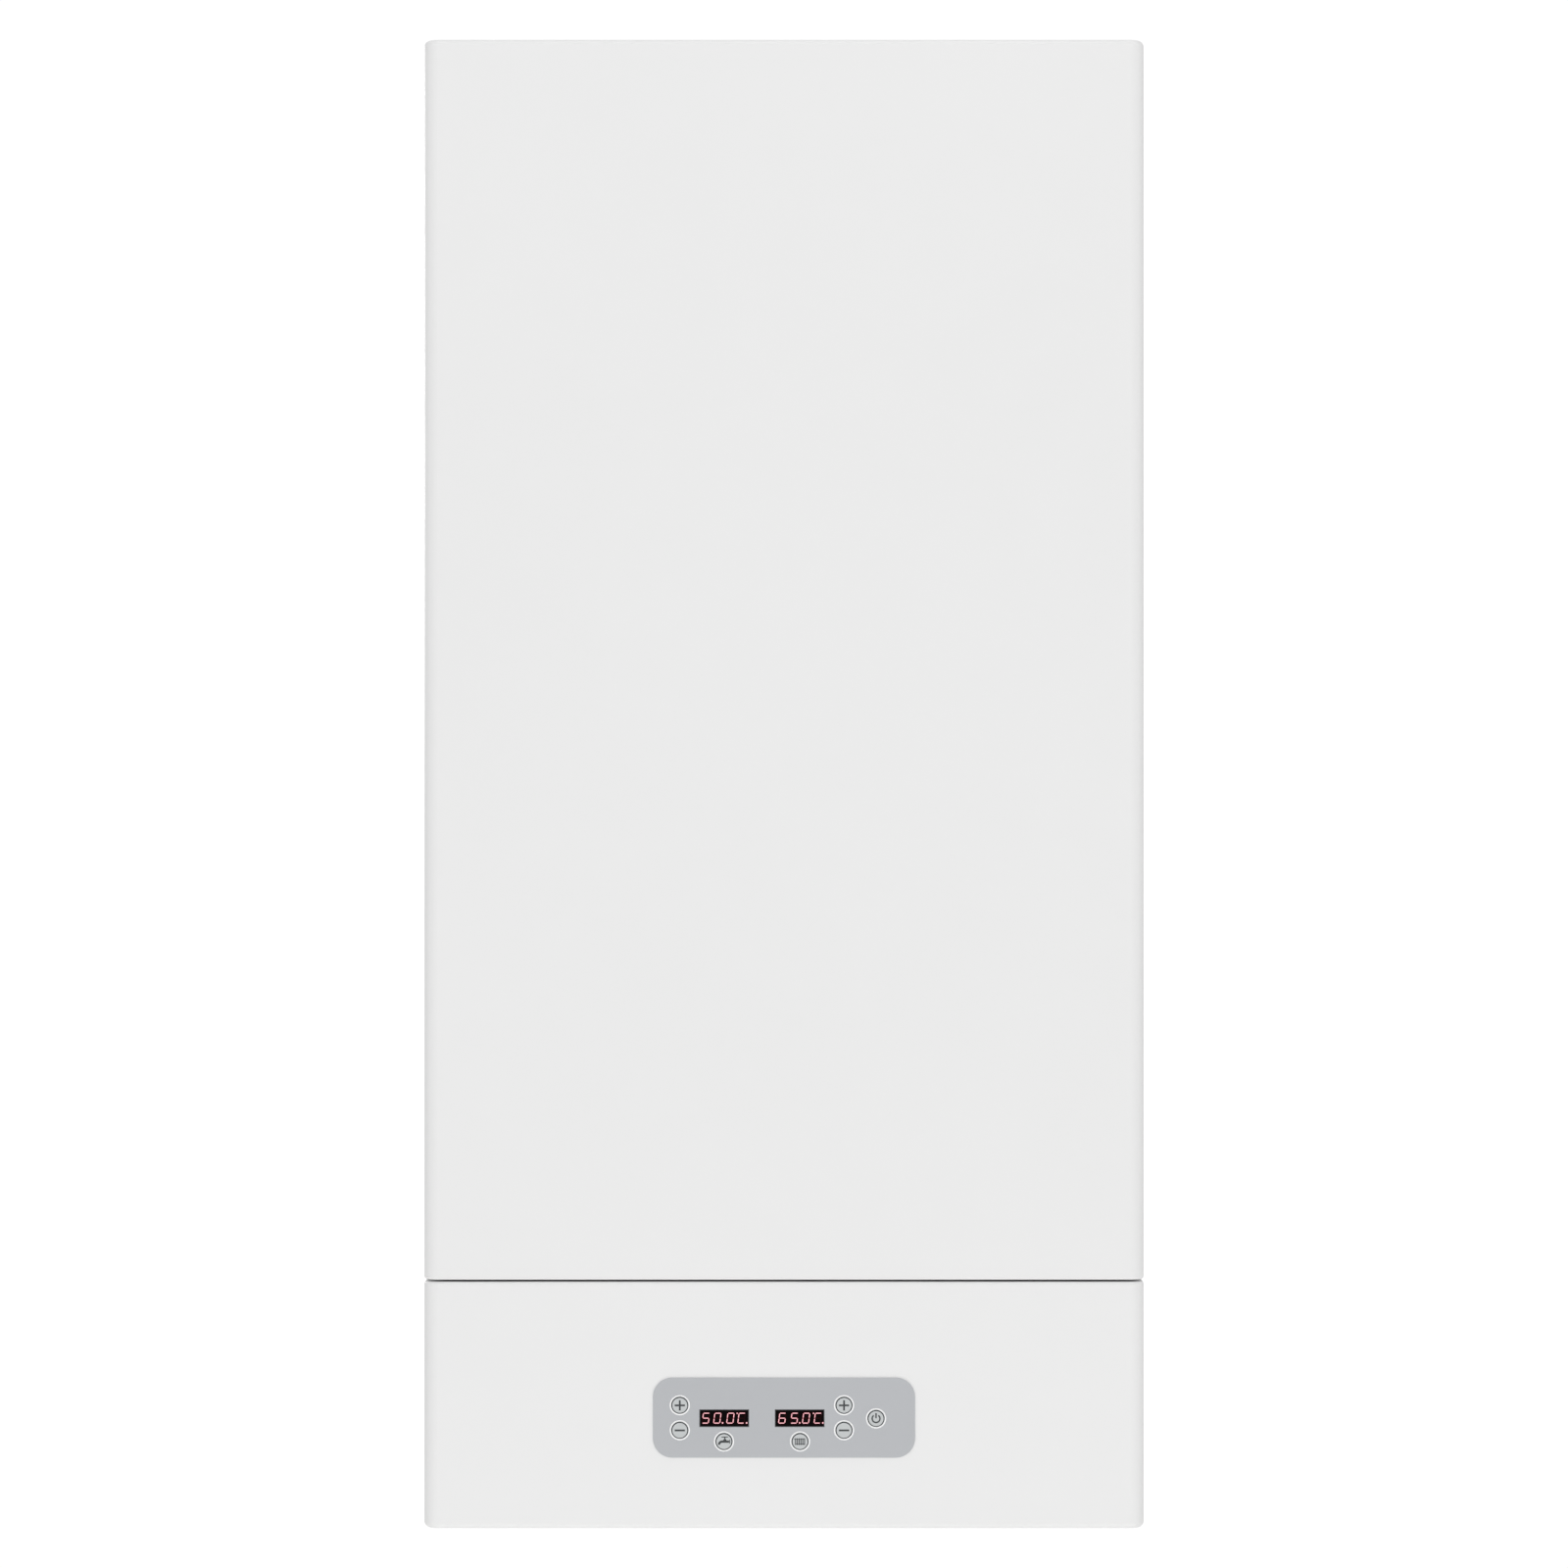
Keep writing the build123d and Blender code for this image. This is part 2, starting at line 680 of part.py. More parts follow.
STUBS = [
    (STUB_X_FLOW, THREAD_34_R, STUB_WALL),
    (STUB_X_HOT, THREAD_12_R, STUB_WALL),
    (STUB_X_DRAIN, DRAIN_R, DRAIN_WALL),
    (STUB_X_COLD, THREAD_12_R, STUB_WALL),
    (STUB_X_RETURN, THREAD_34_R, STUB_WALL),
]
GLANDS = [
    (FRONT + GLAND_MAINS_BACK, GLAND_MAINS_R, GLAND_MAINS_BORE),
    (FRONT + GLAND_SIGNAL_BACK, GLAND_SIGNAL_R, GLAND_SIGNAL_BORE),
]


def bottom_plate():
    """Flat plate with a stiffening strip welded on edge along its front."""
    reach = SIDE_IN - SHEET_FIT
    y0 = BODY_FRONT + SHEET + SHEET_FIT
    form = block(-reach, reach, y0, BODY_REAR, BASE_LOW, BASE_TOP)
    lip = HALF_W - FLANGE_W - SHEET_FIT
    strip = block(-lip, lip, y0, y0 + BASE_T, BASE_TOP, BASE_LOW + BASE_LIP)
    for x, radius, _ in STUBS:
        form -= rod_z(x, STUB_Y, BASE_LOW - 1, BASE_TOP + 1, radius + STUB_PLAY)
    for y, radius, _ in GLANDS:
        form -= rod_z(GLAND_X, y, BASE_LOW - 1, BASE_TOP + 1, radius + SCREW_PLAY)
    for hole in screw_holes(BOTTOM):
        form -= hole
    for side in (-1, 1):
        wedge = block(
            side * (HALF_W - EDGE_R_END), side * (HALF_W + 1), y0 - 2, BODY_REAR + 2,
            BASE_LOW - 1, BOTTOM + EDGE_R_END,
        )
        wedge -= rod_y(
            side * (HALF_W - EDGE_R_END), BOTTOM + EDGE_R_END, y0 - 3, BODY_REAR + 3,
            EDGE_R_END - SHEET - 0.05,
        )
        form -= wedge
    return group([form, strip])


def casing_screws():
    """Pan-head screws through the side panels' upper and lower folds."""
    screws = []
    for x, y in SCREW_PLACES:
        high = rod_z(x, y, TOP, TOP + SCREW_HEAD_H, SCREW_HEAD_R)
        high = fillet(high.edges().sort_by(Axis.Z)[-1], SCREW_HEAD_H / 2)
        high += rod_z(x, y, TOP - SCREW_L, TOP, SCREW_R)
        low = rod_z(x, y, BOTTOM - SCREW_HEAD_H, BOTTOM, SCREW_HEAD_R)
        low = fillet(low.edges().sort_by(Axis.Z)[0], SCREW_HEAD_H / 2)
        low += rod_z(x, y, BOTTOM, BOTTOM + SCREW_L, SCREW_R)
        screws += [high, low]
    return group(screws)


# ================================================================ hanging on the wall
LIP_Z = BRACKET_H / 2 + HOOK_LIP


def wall_bracket():
    """Plate on the wall with a lip that the casing hangs on."""
    half = BRACKET_W / 2
    high = BRACKET_H / 2
    form = block(-half, half, -BRACKET_T, 0, -high, high)
    form += block(-half, half, -(HOOK_OFF + BRACKET_T), 0, high - BRACKET_T, high)
    form += block(-half, half, -(HOOK_OFF + BRACKET_T), -HOOK_OFF, high - BRACKET_T, LIP_Z)
    for side in (-1, 1):
        x = side * BRACKET_HOLES / 2
        form -= rod_y(x, 0, -BRACKET_T - 1, 1, BRACKET_HOLE_R)
    return form


def back_frame():
    """Rear sheet with folded edges to the wall, the hook and the exchanger's brackets."""
    reach = SIDE_IN - SHEET_FIT
    z0 = BOTTOM + EDGE_R_END
    z1 = TOP - EDGE_R_END
    form = block(-reach, reach, PAN_FACE, BODY_REAR, z0, z1)
    form -= block(
        -(reach - PAN_T), reach - PAN_T, PAN_FACE + PAN_T, BODY_REAR + 1,
        z0 + PAN_T, z1 - PAN_T,
    )
    # the hook reaches over the bracket's lip and down behind it
    half = BRACKET_W / 2 - 10
    leg_rear = -HOOK_OFF + HOOK_PLAY + HOOK_T
    form += block(-half, half, PAN_FACE + PAN_T / 2, leg_rear, LIP_Z, LIP_Z + HOOK_T)
    form += block(-half, half, leg_rear - HOOK_T, leg_rear, LIP_Z - HOOK_DEPTH, LIP_Z + HOOK_T)
    # brackets that carry the plate heat exchanger
    for side in (-1, 1):
        x = side * POST_X
        post = block(x - POST_W / 2, x + POST_W / 2, EX_REAR, PAN_FACE + 0.1, EX_Z - POST_H / 2, EX_Z + POST_H / 2)
        post -= block(
            x - POST_W / 2 + PAN_T, x + POST_W / 2 - PAN_T, EX_REAR + PAN_T, PAN_FACE,
            EX_Z - POST_H / 2 - 1, EX_Z + POST_H / 2 + 1,
        )
        form += post
    return form


# ================================================================ control panel and keypad
EAR_PLACES = (-HINGE_X, HINGE_X)
BUTTONS = {
    "button_dhw_plus": (BUTTON_X_WATER, BUTTON_H_PLUS),
    "button_dhw_minus": (BUTTON_X_WATER, BUTTON_H_MINUS),
    "button_dhw_mode": (BUTTON_X_TAP, BUTTON_H_MODE),
    "button_heating_mode": (BUTTON_X_RADIATOR, BUTTON_H_MODE),
    "button_heating_plus": (BUTTON_X_HEAT, BUTTON_H_PLUS),
    "button_heating_minus": (BUTTON_X_HEAT, BUTTON_H_MINUS),
    "button_power": (BUTTON_X_POWER, BUTTON_H_POWER),
}
WINDOWS = (WINDOW_X_WATER, WINDOW_X_HEAT)
WINDOW_Z = BOTTOM + WINDOW_MID_H
BOARD_FACE = SHEET_BACK + BOARD_BACK - SHEET
HOUSING_REAR = SHEET_BACK + HOUSING_D
EAR_PLACES_HOUSING = [
    (side * (HOUSING_W / 2 + HOUSING_EAR / 2), PAD_Z + rise * HOUSING_SCREW_H)
    for side in (-1, 1) for rise in (-1, 1)
]
POST_REAR = SHEET_BACK + HOUSING_POST_L


def control_panel():
    form = tray(BOTTOM, SEAM_LOW, EDGE_R_END, EDGE_R_SEAM)
    hole_w = PAD_W / 2 - PAD_SEAT
    hole_h = PAD_H / 2 - PAD_SEAT
    form -= soft_block(
        -hole_w, hole_w, FRONT - 1, SHEET_BACK + 1, PAD_Z - hole_h, PAD_Z + hole_h,
        Axis.Y, PAD_R - PAD_SEAT,
    )
    # threaded posts for the housing's screws
    for x, z in EAR_PLACES_HOUSING:
        form += rod_y(x, z, SHEET_BACK - 0.1, POST_REAR, HOUSING_POST_R)
        form -= rod_y(x, z, SHEET_BACK + 0.5, POST_REAR + 1, TAP_SCREW_R + PIN_PLAY)
    # hinge lugs on the lower fold, a notch between each pair
    for x in EAR_PLACES:
        inner = EAR_T / 2 + LUG_GAP
        for side in (-1, 1):
            lug = block(
                x + side * inner, x + side * (inner + LUG_T), HINGE_Y - LUG_HALF, HINGE_Y + LUG_HALF,
                BOTTOM + SHEET / 2, HINGE_Z + LUG_RISE,
            )
            form += lug
        slot = EAR_T / 2 + NOTCH_PLAY / 2
        form -= block(
            x - slot, x + slot, HINGE_Y - LUG_HALF - NOTCH_PLAY, CAP_REAR + 1, BOTTOM - 1,
            BOTTOM + SHEET + 0.3,
        )
        bore = EAR_T / 2 + LUG_GAP + LUG_T + 1
        form -= rod_x(HINGE_Y, HINGE_Z, x - bore, x + bore, PIN_R + PIN_PLAY)
    return form


def panel_hinges():
    """Ears on the bottom plate's front edge."""
    ears = []
    rear = BODY_FRONT + SHEET + SHEET_FIT
    foot_front = rear - SHEET
    for x in EAR_PLACES:
        ear = rod_x(HINGE_Y, HINGE_Z, x - EAR_T / 2, x + EAR_T / 2, EAR_R)
        ear += block(
            x - EAR_T / 2, x + EAR_T / 2, HINGE_Y, rear, HINGE_Z - EAR_R, HINGE_Z + EAR_R,
        )
        # the arm stays above the side panels' lower edge behind the panel
        foot_low = BASE_LOW + SHEET_FIT
        ear += block(
            x - EAR_FOOT_W / 2, x + EAR_FOOT_W / 2, foot_front, rear, foot_low, foot_low + EAR_FOOT_H,
        )
        ear -= rod_x(HINGE_Y, HINGE_Z, x - EAR_T, x + EAR_T, PIN_R + PIN_PLAY)
        ears.append(ear)
    return group(ears)


def hinge_pins():
    pins = []
    reach = EAR_T / 2 + LUG_GAP + LUG_T
    for x in EAR_PLACES:
        pin = rod_x(HINGE_Y, HINGE_Z, x - reach, x + reach, PIN_R)
        pin += rod_x(HINGE_Y, HINGE_Z, x + reach, x + reach + PIN_HEAD_T, PIN_HEAD_R)
        pins.append(pin)
    return group(pins)


def keypad_overlay():
    form = soft_block(
        -PAD_W / 2, PAD_W / 2, FRONT - PAD_T, FRONT, PAD_Z - PAD_H / 2, PAD_Z + PAD_H / 2,
        Axis.Y, PAD_R,
    )
    for x in WINDOWS:
        form -= block(
            x - WINDOW_W / 2, x + WINDOW_W / 2, FRONT - PAD_T - 1, FRONT + 1,
            WINDOW_Z - WINDOW_H / 2, WINDOW_Z + WINDOW_H / 2,
        )
    for x, h in BUTTONS.values():
        form -= rod_y(x, BOTTOM + h, FRONT - PAD_T - 1, FRONT + 1, CAP_R + CAP_PLAY)
    return form


STEM_END = BOARD_FACE - SWITCH_BODY - 1.5 - SWITCH_GAP - BUTTON_TRAVEL
SWITCH_TOP = BOARD_FACE - SWITCH_BODY - 1.5


def button(x, height):
    """Round cap with a collar behind the pad and a stem to its switch."""
    z = BOTTOM + height
    face = FRONT - PAD_T - CAP_PROUD
    collar = FRONT + CAP_COLLAR_GAP
    form = rod_y(x, z, face, collar, CAP_R)
    rim = form.edges().filter_by(GeomType.CIRCLE).sort_by(Axis.Y)[0]
    form = chamfer(rim, CAP_BEVEL, CAP_R - CAP_FACE_R)
    form += rod_y(x, z, collar, collar + CAP_COLLAR_T, CAP_COLLAR_R)
    form += rod_y(x, z, collar, STEM_END, CAP_STEM_R)
    return form


def led_displays():
    """Two digit modules behind the pad's windows."""
    modules = []
    for x in WINDOWS:
        half = WINDOW_W / 2 - LED_PLAY
        high = WINDOW_H / 2 - LED_PLAY
        form = block(x - half, x + half, FRONT - LED_PROUD, FRONT + 1, WINDOW_Z - high, WINDOW_Z + high)
        form += block(
            x - LED_BASE_W / 2, x + LED_BASE_W / 2, FRONT + LED_PROUD, BOARD_FACE,
            WINDOW_Z - LED_BASE_H / 2, WINDOW_Z + LED_BASE_H / 2,
        )
        modules.append(form)
    return group(modules)


def display_board():
    """Circuit board with one push switch behind each button."""
    rear = BOARD_FACE + BOARD_T
    form = block(-BOARD_W / 2, BOARD_W / 2, BOARD_FACE, rear, PAD_Z - BOARD_H / 2, PAD_Z + BOARD_H / 2)
    for x, h in BUTTONS.values():
        z = BOTTOM + h
        form += block(
            x - SWITCH_W / 2, x + SWITCH_W / 2, BOARD_FACE - SWITCH_BODY, BOARD_FACE,
            z - SWITCH_W / 2, z + SWITCH_W / 2,
        )
        form += rod_y(x, z, SWITCH_TOP, BOARD_FACE, SWITCH_PLUNGER_R)
    return form


def board_housing():
    """Plastic box that holds the board behind the pad."""
    half = HOUSING_W / 2
    high = HOUSING_H / 2
    form = soft_block(-half, half, SHEET_BACK, HOUSING_REAR, PAD_Z - high, PAD_Z + high, Axis.Y, HOUSING_R)
    form -= soft_block(
        -half + HOUSING_T, half - HOUSING_T, SHEET_BACK - 1, HOUSING_REAR - HOUSING_T,
        PAD_Z - high + HOUSING_T, PAD_Z + high - HOUSING_T, Axis.Y, HOUSING_R - HOUSING_T,
    )
    for x, z in EAR_PLACES_HOUSING:
        side = 1 if x > 0 else -1
        form += block(
            side * (half - HOUSING_T / 2), side * (half + HOUSING_EAR), POST_REAR, POST_REAR + HOUSING_EAR_T,
            z - HOUSING_EAR / 2, z + HOUSING_EAR / 2,
        )
        form -= rod_y(x, z, POST_REAR - 1, POST_REAR + HOUSING_EAR_T + 1, TAP_SCREW_R + SCREW_PLAY)
    for side in (-1, 1):
        for rise in (-1, 1):
            x = side * (BOARD_W / 2 - 2 * BOARD_POST_R)
            z = PAD_Z + rise * (BOARD_H / 2 - 2 * BOARD_POST_R)
            form += rod_y(x, z, BOARD_FACE + BOARD_T, HOUSING_REAR - HOUSING_T / 2, BOARD_POST_R)
    return form


def housing_screws():
    screws = []
    seat = POST_REAR + HOUSING_EAR_T
    for x, z in EAR_PLACES_HOUSING:
        head = rod_y(x, z, seat, seat + SCREW_HEAD_H, 2 * TAP_SCREW_R)
        screws.append(head + rod_y(x, z, seat - TAP_SCREW_L, seat, TAP_SCREW_R))
    return group(screws)


# ================================================================ pipe stubs, nuts and glands
def pipe_stubs():
    """Connections under the casing, left to right."""
    stubs = []
    for x, radius, wall in STUBS:
        form = rod_z(x, STUB_Y, BOTTOM - STUB_BELOW, STUB_TOP, radius)
        form += rod_z(x, STUB_Y, BASE_LOW - STUB_COLLAR_T, BASE_LOW, radius + STUB_COLLAR)
        bore = rod_z(x, STUB_Y, BOTTOM - STUB_BELOW - 1, STUB_TOP + 1, radius - wall)
        stubs.append(form - bore)
    return group(stubs)


def stub_locknuts():
    """Hexagon nuts that clamp the stubs on the bottom plate."""
    nuts = []
    for x, radius, _ in STUBS:
        nut = hexagon_z(x, STUB_Y, BASE_TOP, BASE_TOP + NUT_T, radius + NUT_RIM)
        nuts.append(nut - rod_z(x, STUB_Y, BASE_TOP - 1, BASE_TOP + NUT_T + 1, radius + NUT_PLAY))
    return group(nuts)


def cable_glands():
    """Glands for the mains cable and for the signal cable."""
    glands = []
    for y, radius, bore in GLANDS:
        flats = radius + GLAND_RIM
        form = hexagon_z(GLAND_X, y, BASE_LOW - GLAND_BELOW + GLAND_DOME, BASE_LOW, flats)
        form += rod_z(GLAND_X, y, BASE_LOW - GLAND_BELOW, BASE_LOW - GLAND_BELOW + GLAND_DOME, flats - 1)
        form += rod_z(GLAND_X, y, BASE_LOW, BASE_LOW + GLAND_ABOVE, radius)
        form += hexagon_z(GLAND_X, y, BASE_TOP, BASE_TOP + GLAND_NUT_T, flats)
        form -= rod_z(GLAND_X, y, BASE_LOW - GLAND_BELOW - 1, BASE_LOW + GLAND_ABOVE + 1, bore)
        glands.append(form)
    return group(glands)


# ================================================================ heating vessel
BOTTOM_NOZZLE = SHELF_Z - 1.0


def vessel_shelf():
    """Folded shelf on the back frame that carries the vessel."""
    x0 = VESSEL_X - SHELF_HALF
    x1 = VESSEL_X + SHELF_HALF
    y0 = VESSEL_Y - SHELF_FRONT
    form = block(x0, x1, y0, PAN_FACE, SHELF_Z, SHELF_Z + SHELF_T)
    form += block(x0, x1, PAN_FACE - SHELF_T, PAN_FACE, SHELF_Z, SHELF_Z + SHELF_BACK)
    form += block(x0, x0 + SHELF_T, y0, PAN_FACE, SHELF_Z, SHELF_Z + SHELF_LIP)
    form += block(x1 - SHELF_T, x1, y0, PAN_FACE, SHELF_Z, SHELF_Z + SHELF_LIP)
    form -= rod_z(VESSEL_X, VESSEL_Y, SHELF_Z - 1, SHELF_Z + SHELF_T + 1, PIPE_R + NOZZLE_PLAY)
    form -= rod_z(HOSE_X, EXP_Y, SHELF_Z - 1, SHELF_Z + SHELF_T + 1, HOSE_R + 4 * NOZZLE_PLAY)
    return form


def heating_vessel():
    """Welded steel vessel, hollow, with its two nozzles and the top ring."""
    form = round_edges(rod_z(VESSEL_X, VESSEL_Y, VESSEL_LOW, VESSEL_TOP, VESSEL_R), VESSEL_EDGE)
    form += rod_z(VESSEL_X, VESSEL_Y, VESSEL_TOP - VESSEL_WALL, RING_TOP, RING_R)
    form += rod_x(VESSEL_Y, NOZZLE_Z, NOZZLE_X, VESSEL_X, PIPE_R)
    form += rod_z(VESSEL_X, VESSEL_Y, BOTTOM_NOZZLE, VESSEL_LOW + VESSEL_WALL, PIPE_R)
    space = rod_z(
        VESSEL_X, VESSEL_Y, VESSEL_LOW + VESSEL_WALL, VESSEL_TOP - VESSEL_WALL,
        VESSEL_R - VESSEL_WALL,
    )
    form -= round_edges(space, VESSEL_EDGE - VESSEL_WALL)
    form -= rod_z(VESSEL_X, VESSEL_Y, VESSEL_TOP - 2 * VESSEL_WALL, RING_TOP + 1, RING_BORE)
    form -= rod_x(VESSEL_Y, NOZZLE_Z, NOZZLE_X - 1, VESSEL_X, PIPE_R - PIPE_WALL)
    form -= rod_z(
        VESSEL_X, VESSEL_Y, BOTTOM_NOZZLE - 1, VESSEL_LOW + 2 * VESSEL_WALL, PIPE_R - PIPE_WALL,
    )
    for dx, dy in around(BOLT_COUNT, BOLT_RING_R):
        form -= rod_z(VESSEL_X + dx, VESSEL_Y + dy, VESSEL_TOP, RING_TOP + 1, BOLT_R + BOLT_PLAY)
    return form


def insulation_jacket():
    """Foam sleeve round the vessel, cut out at the hot nozzle."""
    z0 = VESSEL_LOW + JACKET_LOW
    z1 = VESSEL_TOP - JACKET_TOP
    form = rod_z(VESSEL_X, VESSEL_Y, z0, z1, JACKET_R)
    form -= rod_z(VESSEL_X, VESSEL_Y, z0 - 1, z1 + 1, VESSEL_R + JACKET_GAP)
    form -= rod_x(VESSEL_Y, NOZZLE_Z, NOZZLE_X - 1, VESSEL_X, PIPE_R + NOZZLE_PLAY)
    return form


ROD_Y = [VESSEL_Y + (i - (ROD_COUNT - 1) / 2) * ROD_PITCH for i in range(ROD_COUNT)]


def heater_flange():
    form = rod_z(VESSEL_X, VESSEL_Y, RING_TOP, COVER_TOP, RING_R)
    for y in ROD_Y:
        for side in (-1, 1):
            form -= rod_z(
                VESSEL_X + side * ROD_LEG, y, RING_TOP - 1, COVER_TOP + 1, ROD_R + ROD_PLAY,
            )
    for dx, dy in around(BOLT_COUNT, BOLT_RING_R):
        form -= rod_z(VESSEL_X + dx, VESSEL_Y + dy, RING_TOP - 1, COVER_TOP + 1, BOLT_R + BOLT_PLAY)
    return form


def heating_elements():
    """Hairpin rods through the flange, joined by a collar under it."""
    rods = []
    low = VESSEL_LOW + ROD_CLEAR
    for y in ROD_Y:
        left = VESSEL_X - ROD_LEG
        right = VESSEL_X + ROD_LEG
        route = [(left, y, ROD_TOP), (left, y, low), (right, y, low), (right, y, ROD_TOP)]
        form = cable(route, ROD_LEG - 0.2, ROD_R)
        for x in (left, right):
            form += rod_z(x, y, RING_TOP - 2, RING_TOP, ROD_R + 1.5)
        rods.append(form)
    return group(rods)


def flange_bolts():
    bolts = []
    for dx, dy in around(BOLT_COUNT, BOLT_RING_R):
        x = VESSEL_X + dx
        y = VESSEL_Y + dy
        bolt = hexagon_z(x, y, COVER_TOP, COVER_TOP + BOLT_HEAD_H, BOLT_HEAD_R)
        bolts.append(bolt + rod_z(x, y, VESSEL_TOP, COVER_TOP, BOLT_R))
    return group(bolts)


VENT_X = VESSEL_X + VENT_RADIUS * math.cos(math.radians(VENT_ANGLE))
VENT_Y = VESSEL_Y + VENT_RADIUS * math.sin(math.radians(VENT_ANGLE))
VENT_LOW = VESSEL_TOP + VENT_NECK_L
VENT_HIGH = VENT_LOW + VENT_L


def air_vent():
    form = rod_z(VENT_X, VENT_Y, VENT_LOW, VENT_HIGH, VENT_R)
    form = round_edges(form, 2.0)
    form += rod_z(VENT_X, VENT_Y, VESSEL_TOP, VENT_LOW + 1, VENT_NECK_R)
    form += hexagon_z(VENT_X, VENT_Y, VESSEL_TOP + 4, VESSEL_TOP + 11, VENT_NECK_R + 1.2)
    return form - rod_z(VENT_X, VENT_Y, VENT_HIGH - VENT_PIN_L - 1, VENT_HIGH + 1, VENT_PIN_R + VENT_PLAY)


def air_vent_cap():
    """Small screw cap on top of the vent."""
    low = VENT_HIGH + LUG_GAP
    form = rod_z(VENT_X, VENT_Y, low, low + VENT_CAP_L, VENT_CAP_R)
    form = chamfer(form.edges().sort_by(Axis.Z)[-1], 1.0)
    for dx, dy in around(8, VENT_CAP_R + 0.4):
        form -= rod_z(VENT_X + dx, VENT_Y + dy, low - 1, low + VENT_CAP_L - 2, 0.9)
    return form + rod_z(VENT_X, VENT_Y, VENT_HIGH - VENT_PIN_L, low + 1, VENT_PIN_R)


# ================================================================ expansion vessel and hose
NECK_RISE = math.sqrt((EXP_R + EXP_RIM - 2) ** 2 - EXP_NECK_X ** 2)
HOSE_X = EXP_X + EXP_NECK_X
NECK_LOW = EXP_Z - NECK_RISE - EXP_NECK_L
SKIN_RIM_R = EXP_R + EXP_RIM / 2
TEE_REAR = STUB_Y + TEE_SIDE


def expansion_vessel():
    """Flat round steel vessel with its seam ring and hose neck."""
    form = round_edges(rod_y(EXP_X, EXP_Z, EXP_FRONT, PAN_FACE, EXP_R), EXP_EDGE)
    form += rod_y(EXP_X, EXP_Z, EXP_Y - EXP_RIM_T / 2, EXP_Y + EXP_RIM_T / 2, EXP_R + EXP_RIM)
    form += rod_z(HOSE_X, EXP_Y, NECK_LOW, EXP_Z, EXP_NECK_R)
    space = rod_y(EXP_X, EXP_Z, EXP_FRONT + EXP_WALL, PAN_FACE - EXP_WALL, EXP_R - EXP_WALL)
    form -= round_edges(space, EXP_EDGE - EXP_WALL)
    form -= rod_y(
        EXP_X, EXP_Z, EXP_Y - SKIN_T / 2 - SKIN_PLAY, EXP_Y + SKIN_T / 2 + SKIN_PLAY,
        SKIN_RIM_R + SKIN_PLAY,
    )
    return form


def expansion_diaphragm():
    """Dished rubber skin held in the vessel's seam."""
    back = EXP_Y + SKIN_T / 2
    front = EXP_Y - SKIN_T / 2
    outline = Polyline(
        (0, back - SKIN_SINK), (SKIN_FLAT_R, back - SKIN_SINK), (SKIN_SLOPE_R, back),
        (SKIN_RIM_R, back), (SKIN_RIM_R, front), (SKIN_SLOPE_R, front),
        (SKIN_FLAT_R, front - SKIN_SINK), (0, front - SKIN_SINK), close=True,
    )
    form = revolve(make_face(outline), Axis.Y)
    return Pos(EXP_X, 0, EXP_Z) * form


def expansion_hose():
    """Hose from the expansion vessel down to the pump's tee."""
    below = SHELF_Z - BRANCH_Z
    sway = HOSE_X + HOSE_SWAY
    route = [
        (HOSE_X, EXP_Y, NECK_LOW),
        (HOSE_X, EXP_Y, SHELF_Z - 0.15 * below),
        (sway, EXP_Y, SHELF_Z - 0.40 * below),
        (sway, EXP_Y, SHELF_Z - 0.61 * below),
        (STUB_X_RETURN, EXP_Y, SHELF_Z - 0.81 * below),
        (STUB_X_RETURN, EXP_Y, BRANCH_Z),
        (STUB_X_RETURN, TEE_REAR, BRANCH_Z),
    ]
    bends = [120.0, 120.0, 100.0, 60.0, 26.0]
    path = FilletPolyline(*route, radius=bends)
    start = Plane(origin=path @ 0, z_dir=path % 0)
    return sweep(start * (Circle(HOSE_R) - Circle(HOSE_BORE)), path=path)


# ================================================================ pump
def pump_volute():
    """Cast body in line with the return, its tee below and the safety port beside it."""
    x = STUB_X_RETURN
    low = BRANCH_Z - TEE_LOW
    port_x = x - PUMP_R - SAFETY_PORT_OUT
    form = rod_y(x, PUMP_Z, PUMP_FRONT, PUMP_REAR, PUMP_R)
    form = fillet(form.edges().filter_by(GeomType.CIRCLE).sort_by(Axis.Y)[-1], 6.0)
    form += rod_z(x, STUB_Y, low, PUMP_OUT_Z, PUMP_NECK_R)
    form += rod_x(STUB_Y, BRANCH_Z, x - TEE_SIDE, x, PUMP_NECK_R - 4)
    form += rod_y(x, BRANCH_Z, STUB_Y, TEE_REAR, HOSE_R + 3)
    form += rod_x(STUB_Y, SAFETY_Z, port_x, x, SAFETY_ARM_R)
    # water space
    deck = PUMP_FRONT + PUMP_DECK
    form -= rod_y(x, PUMP_Z, deck, PUMP_REAR - PUMP_WALL, PUMP_CAVITY_R)
    form -= rod_z(x, STUB_Y, low - 1, PUMP_Z - PUMP_CAVITY_R + 4, PUMP_BORE)
    form -= rod_z(x, STUB_Y, PUMP_Z + PUMP_CAVITY_R - 4, PUMP_OUT_Z + 1, PUMP_BORE)
    form -= rod_x(STUB_Y, BRANCH_Z, x - TEE_SIDE - 1, x, SMALL_R - PIPE_WALL)
    form -= rod_y(x, BRANCH_Z, STUB_Y, TEE_REAR + 1, HOSE_BORE)
    form -= rod_x(STUB_Y, SAFETY_Z, port_x - 1, x - PUMP_CAVITY_R + 2, SMALL_R - PIPE_WALL)
    # shaft's way through the front wall and its bearing in the rear wall
    form -= rod_y(x, PUMP_Z, PUMP_FRONT - 1, deck + 1, SHAFT_R + SHAFT_PLAY)
    form -= rod_y(
        x, PUMP_Z, PUMP_REAR - PUMP_WALL - 1, PUMP_REAR - PUMP_WALL / 2, SHAFT_R + SHAFT_PLAY,
    )
    return form


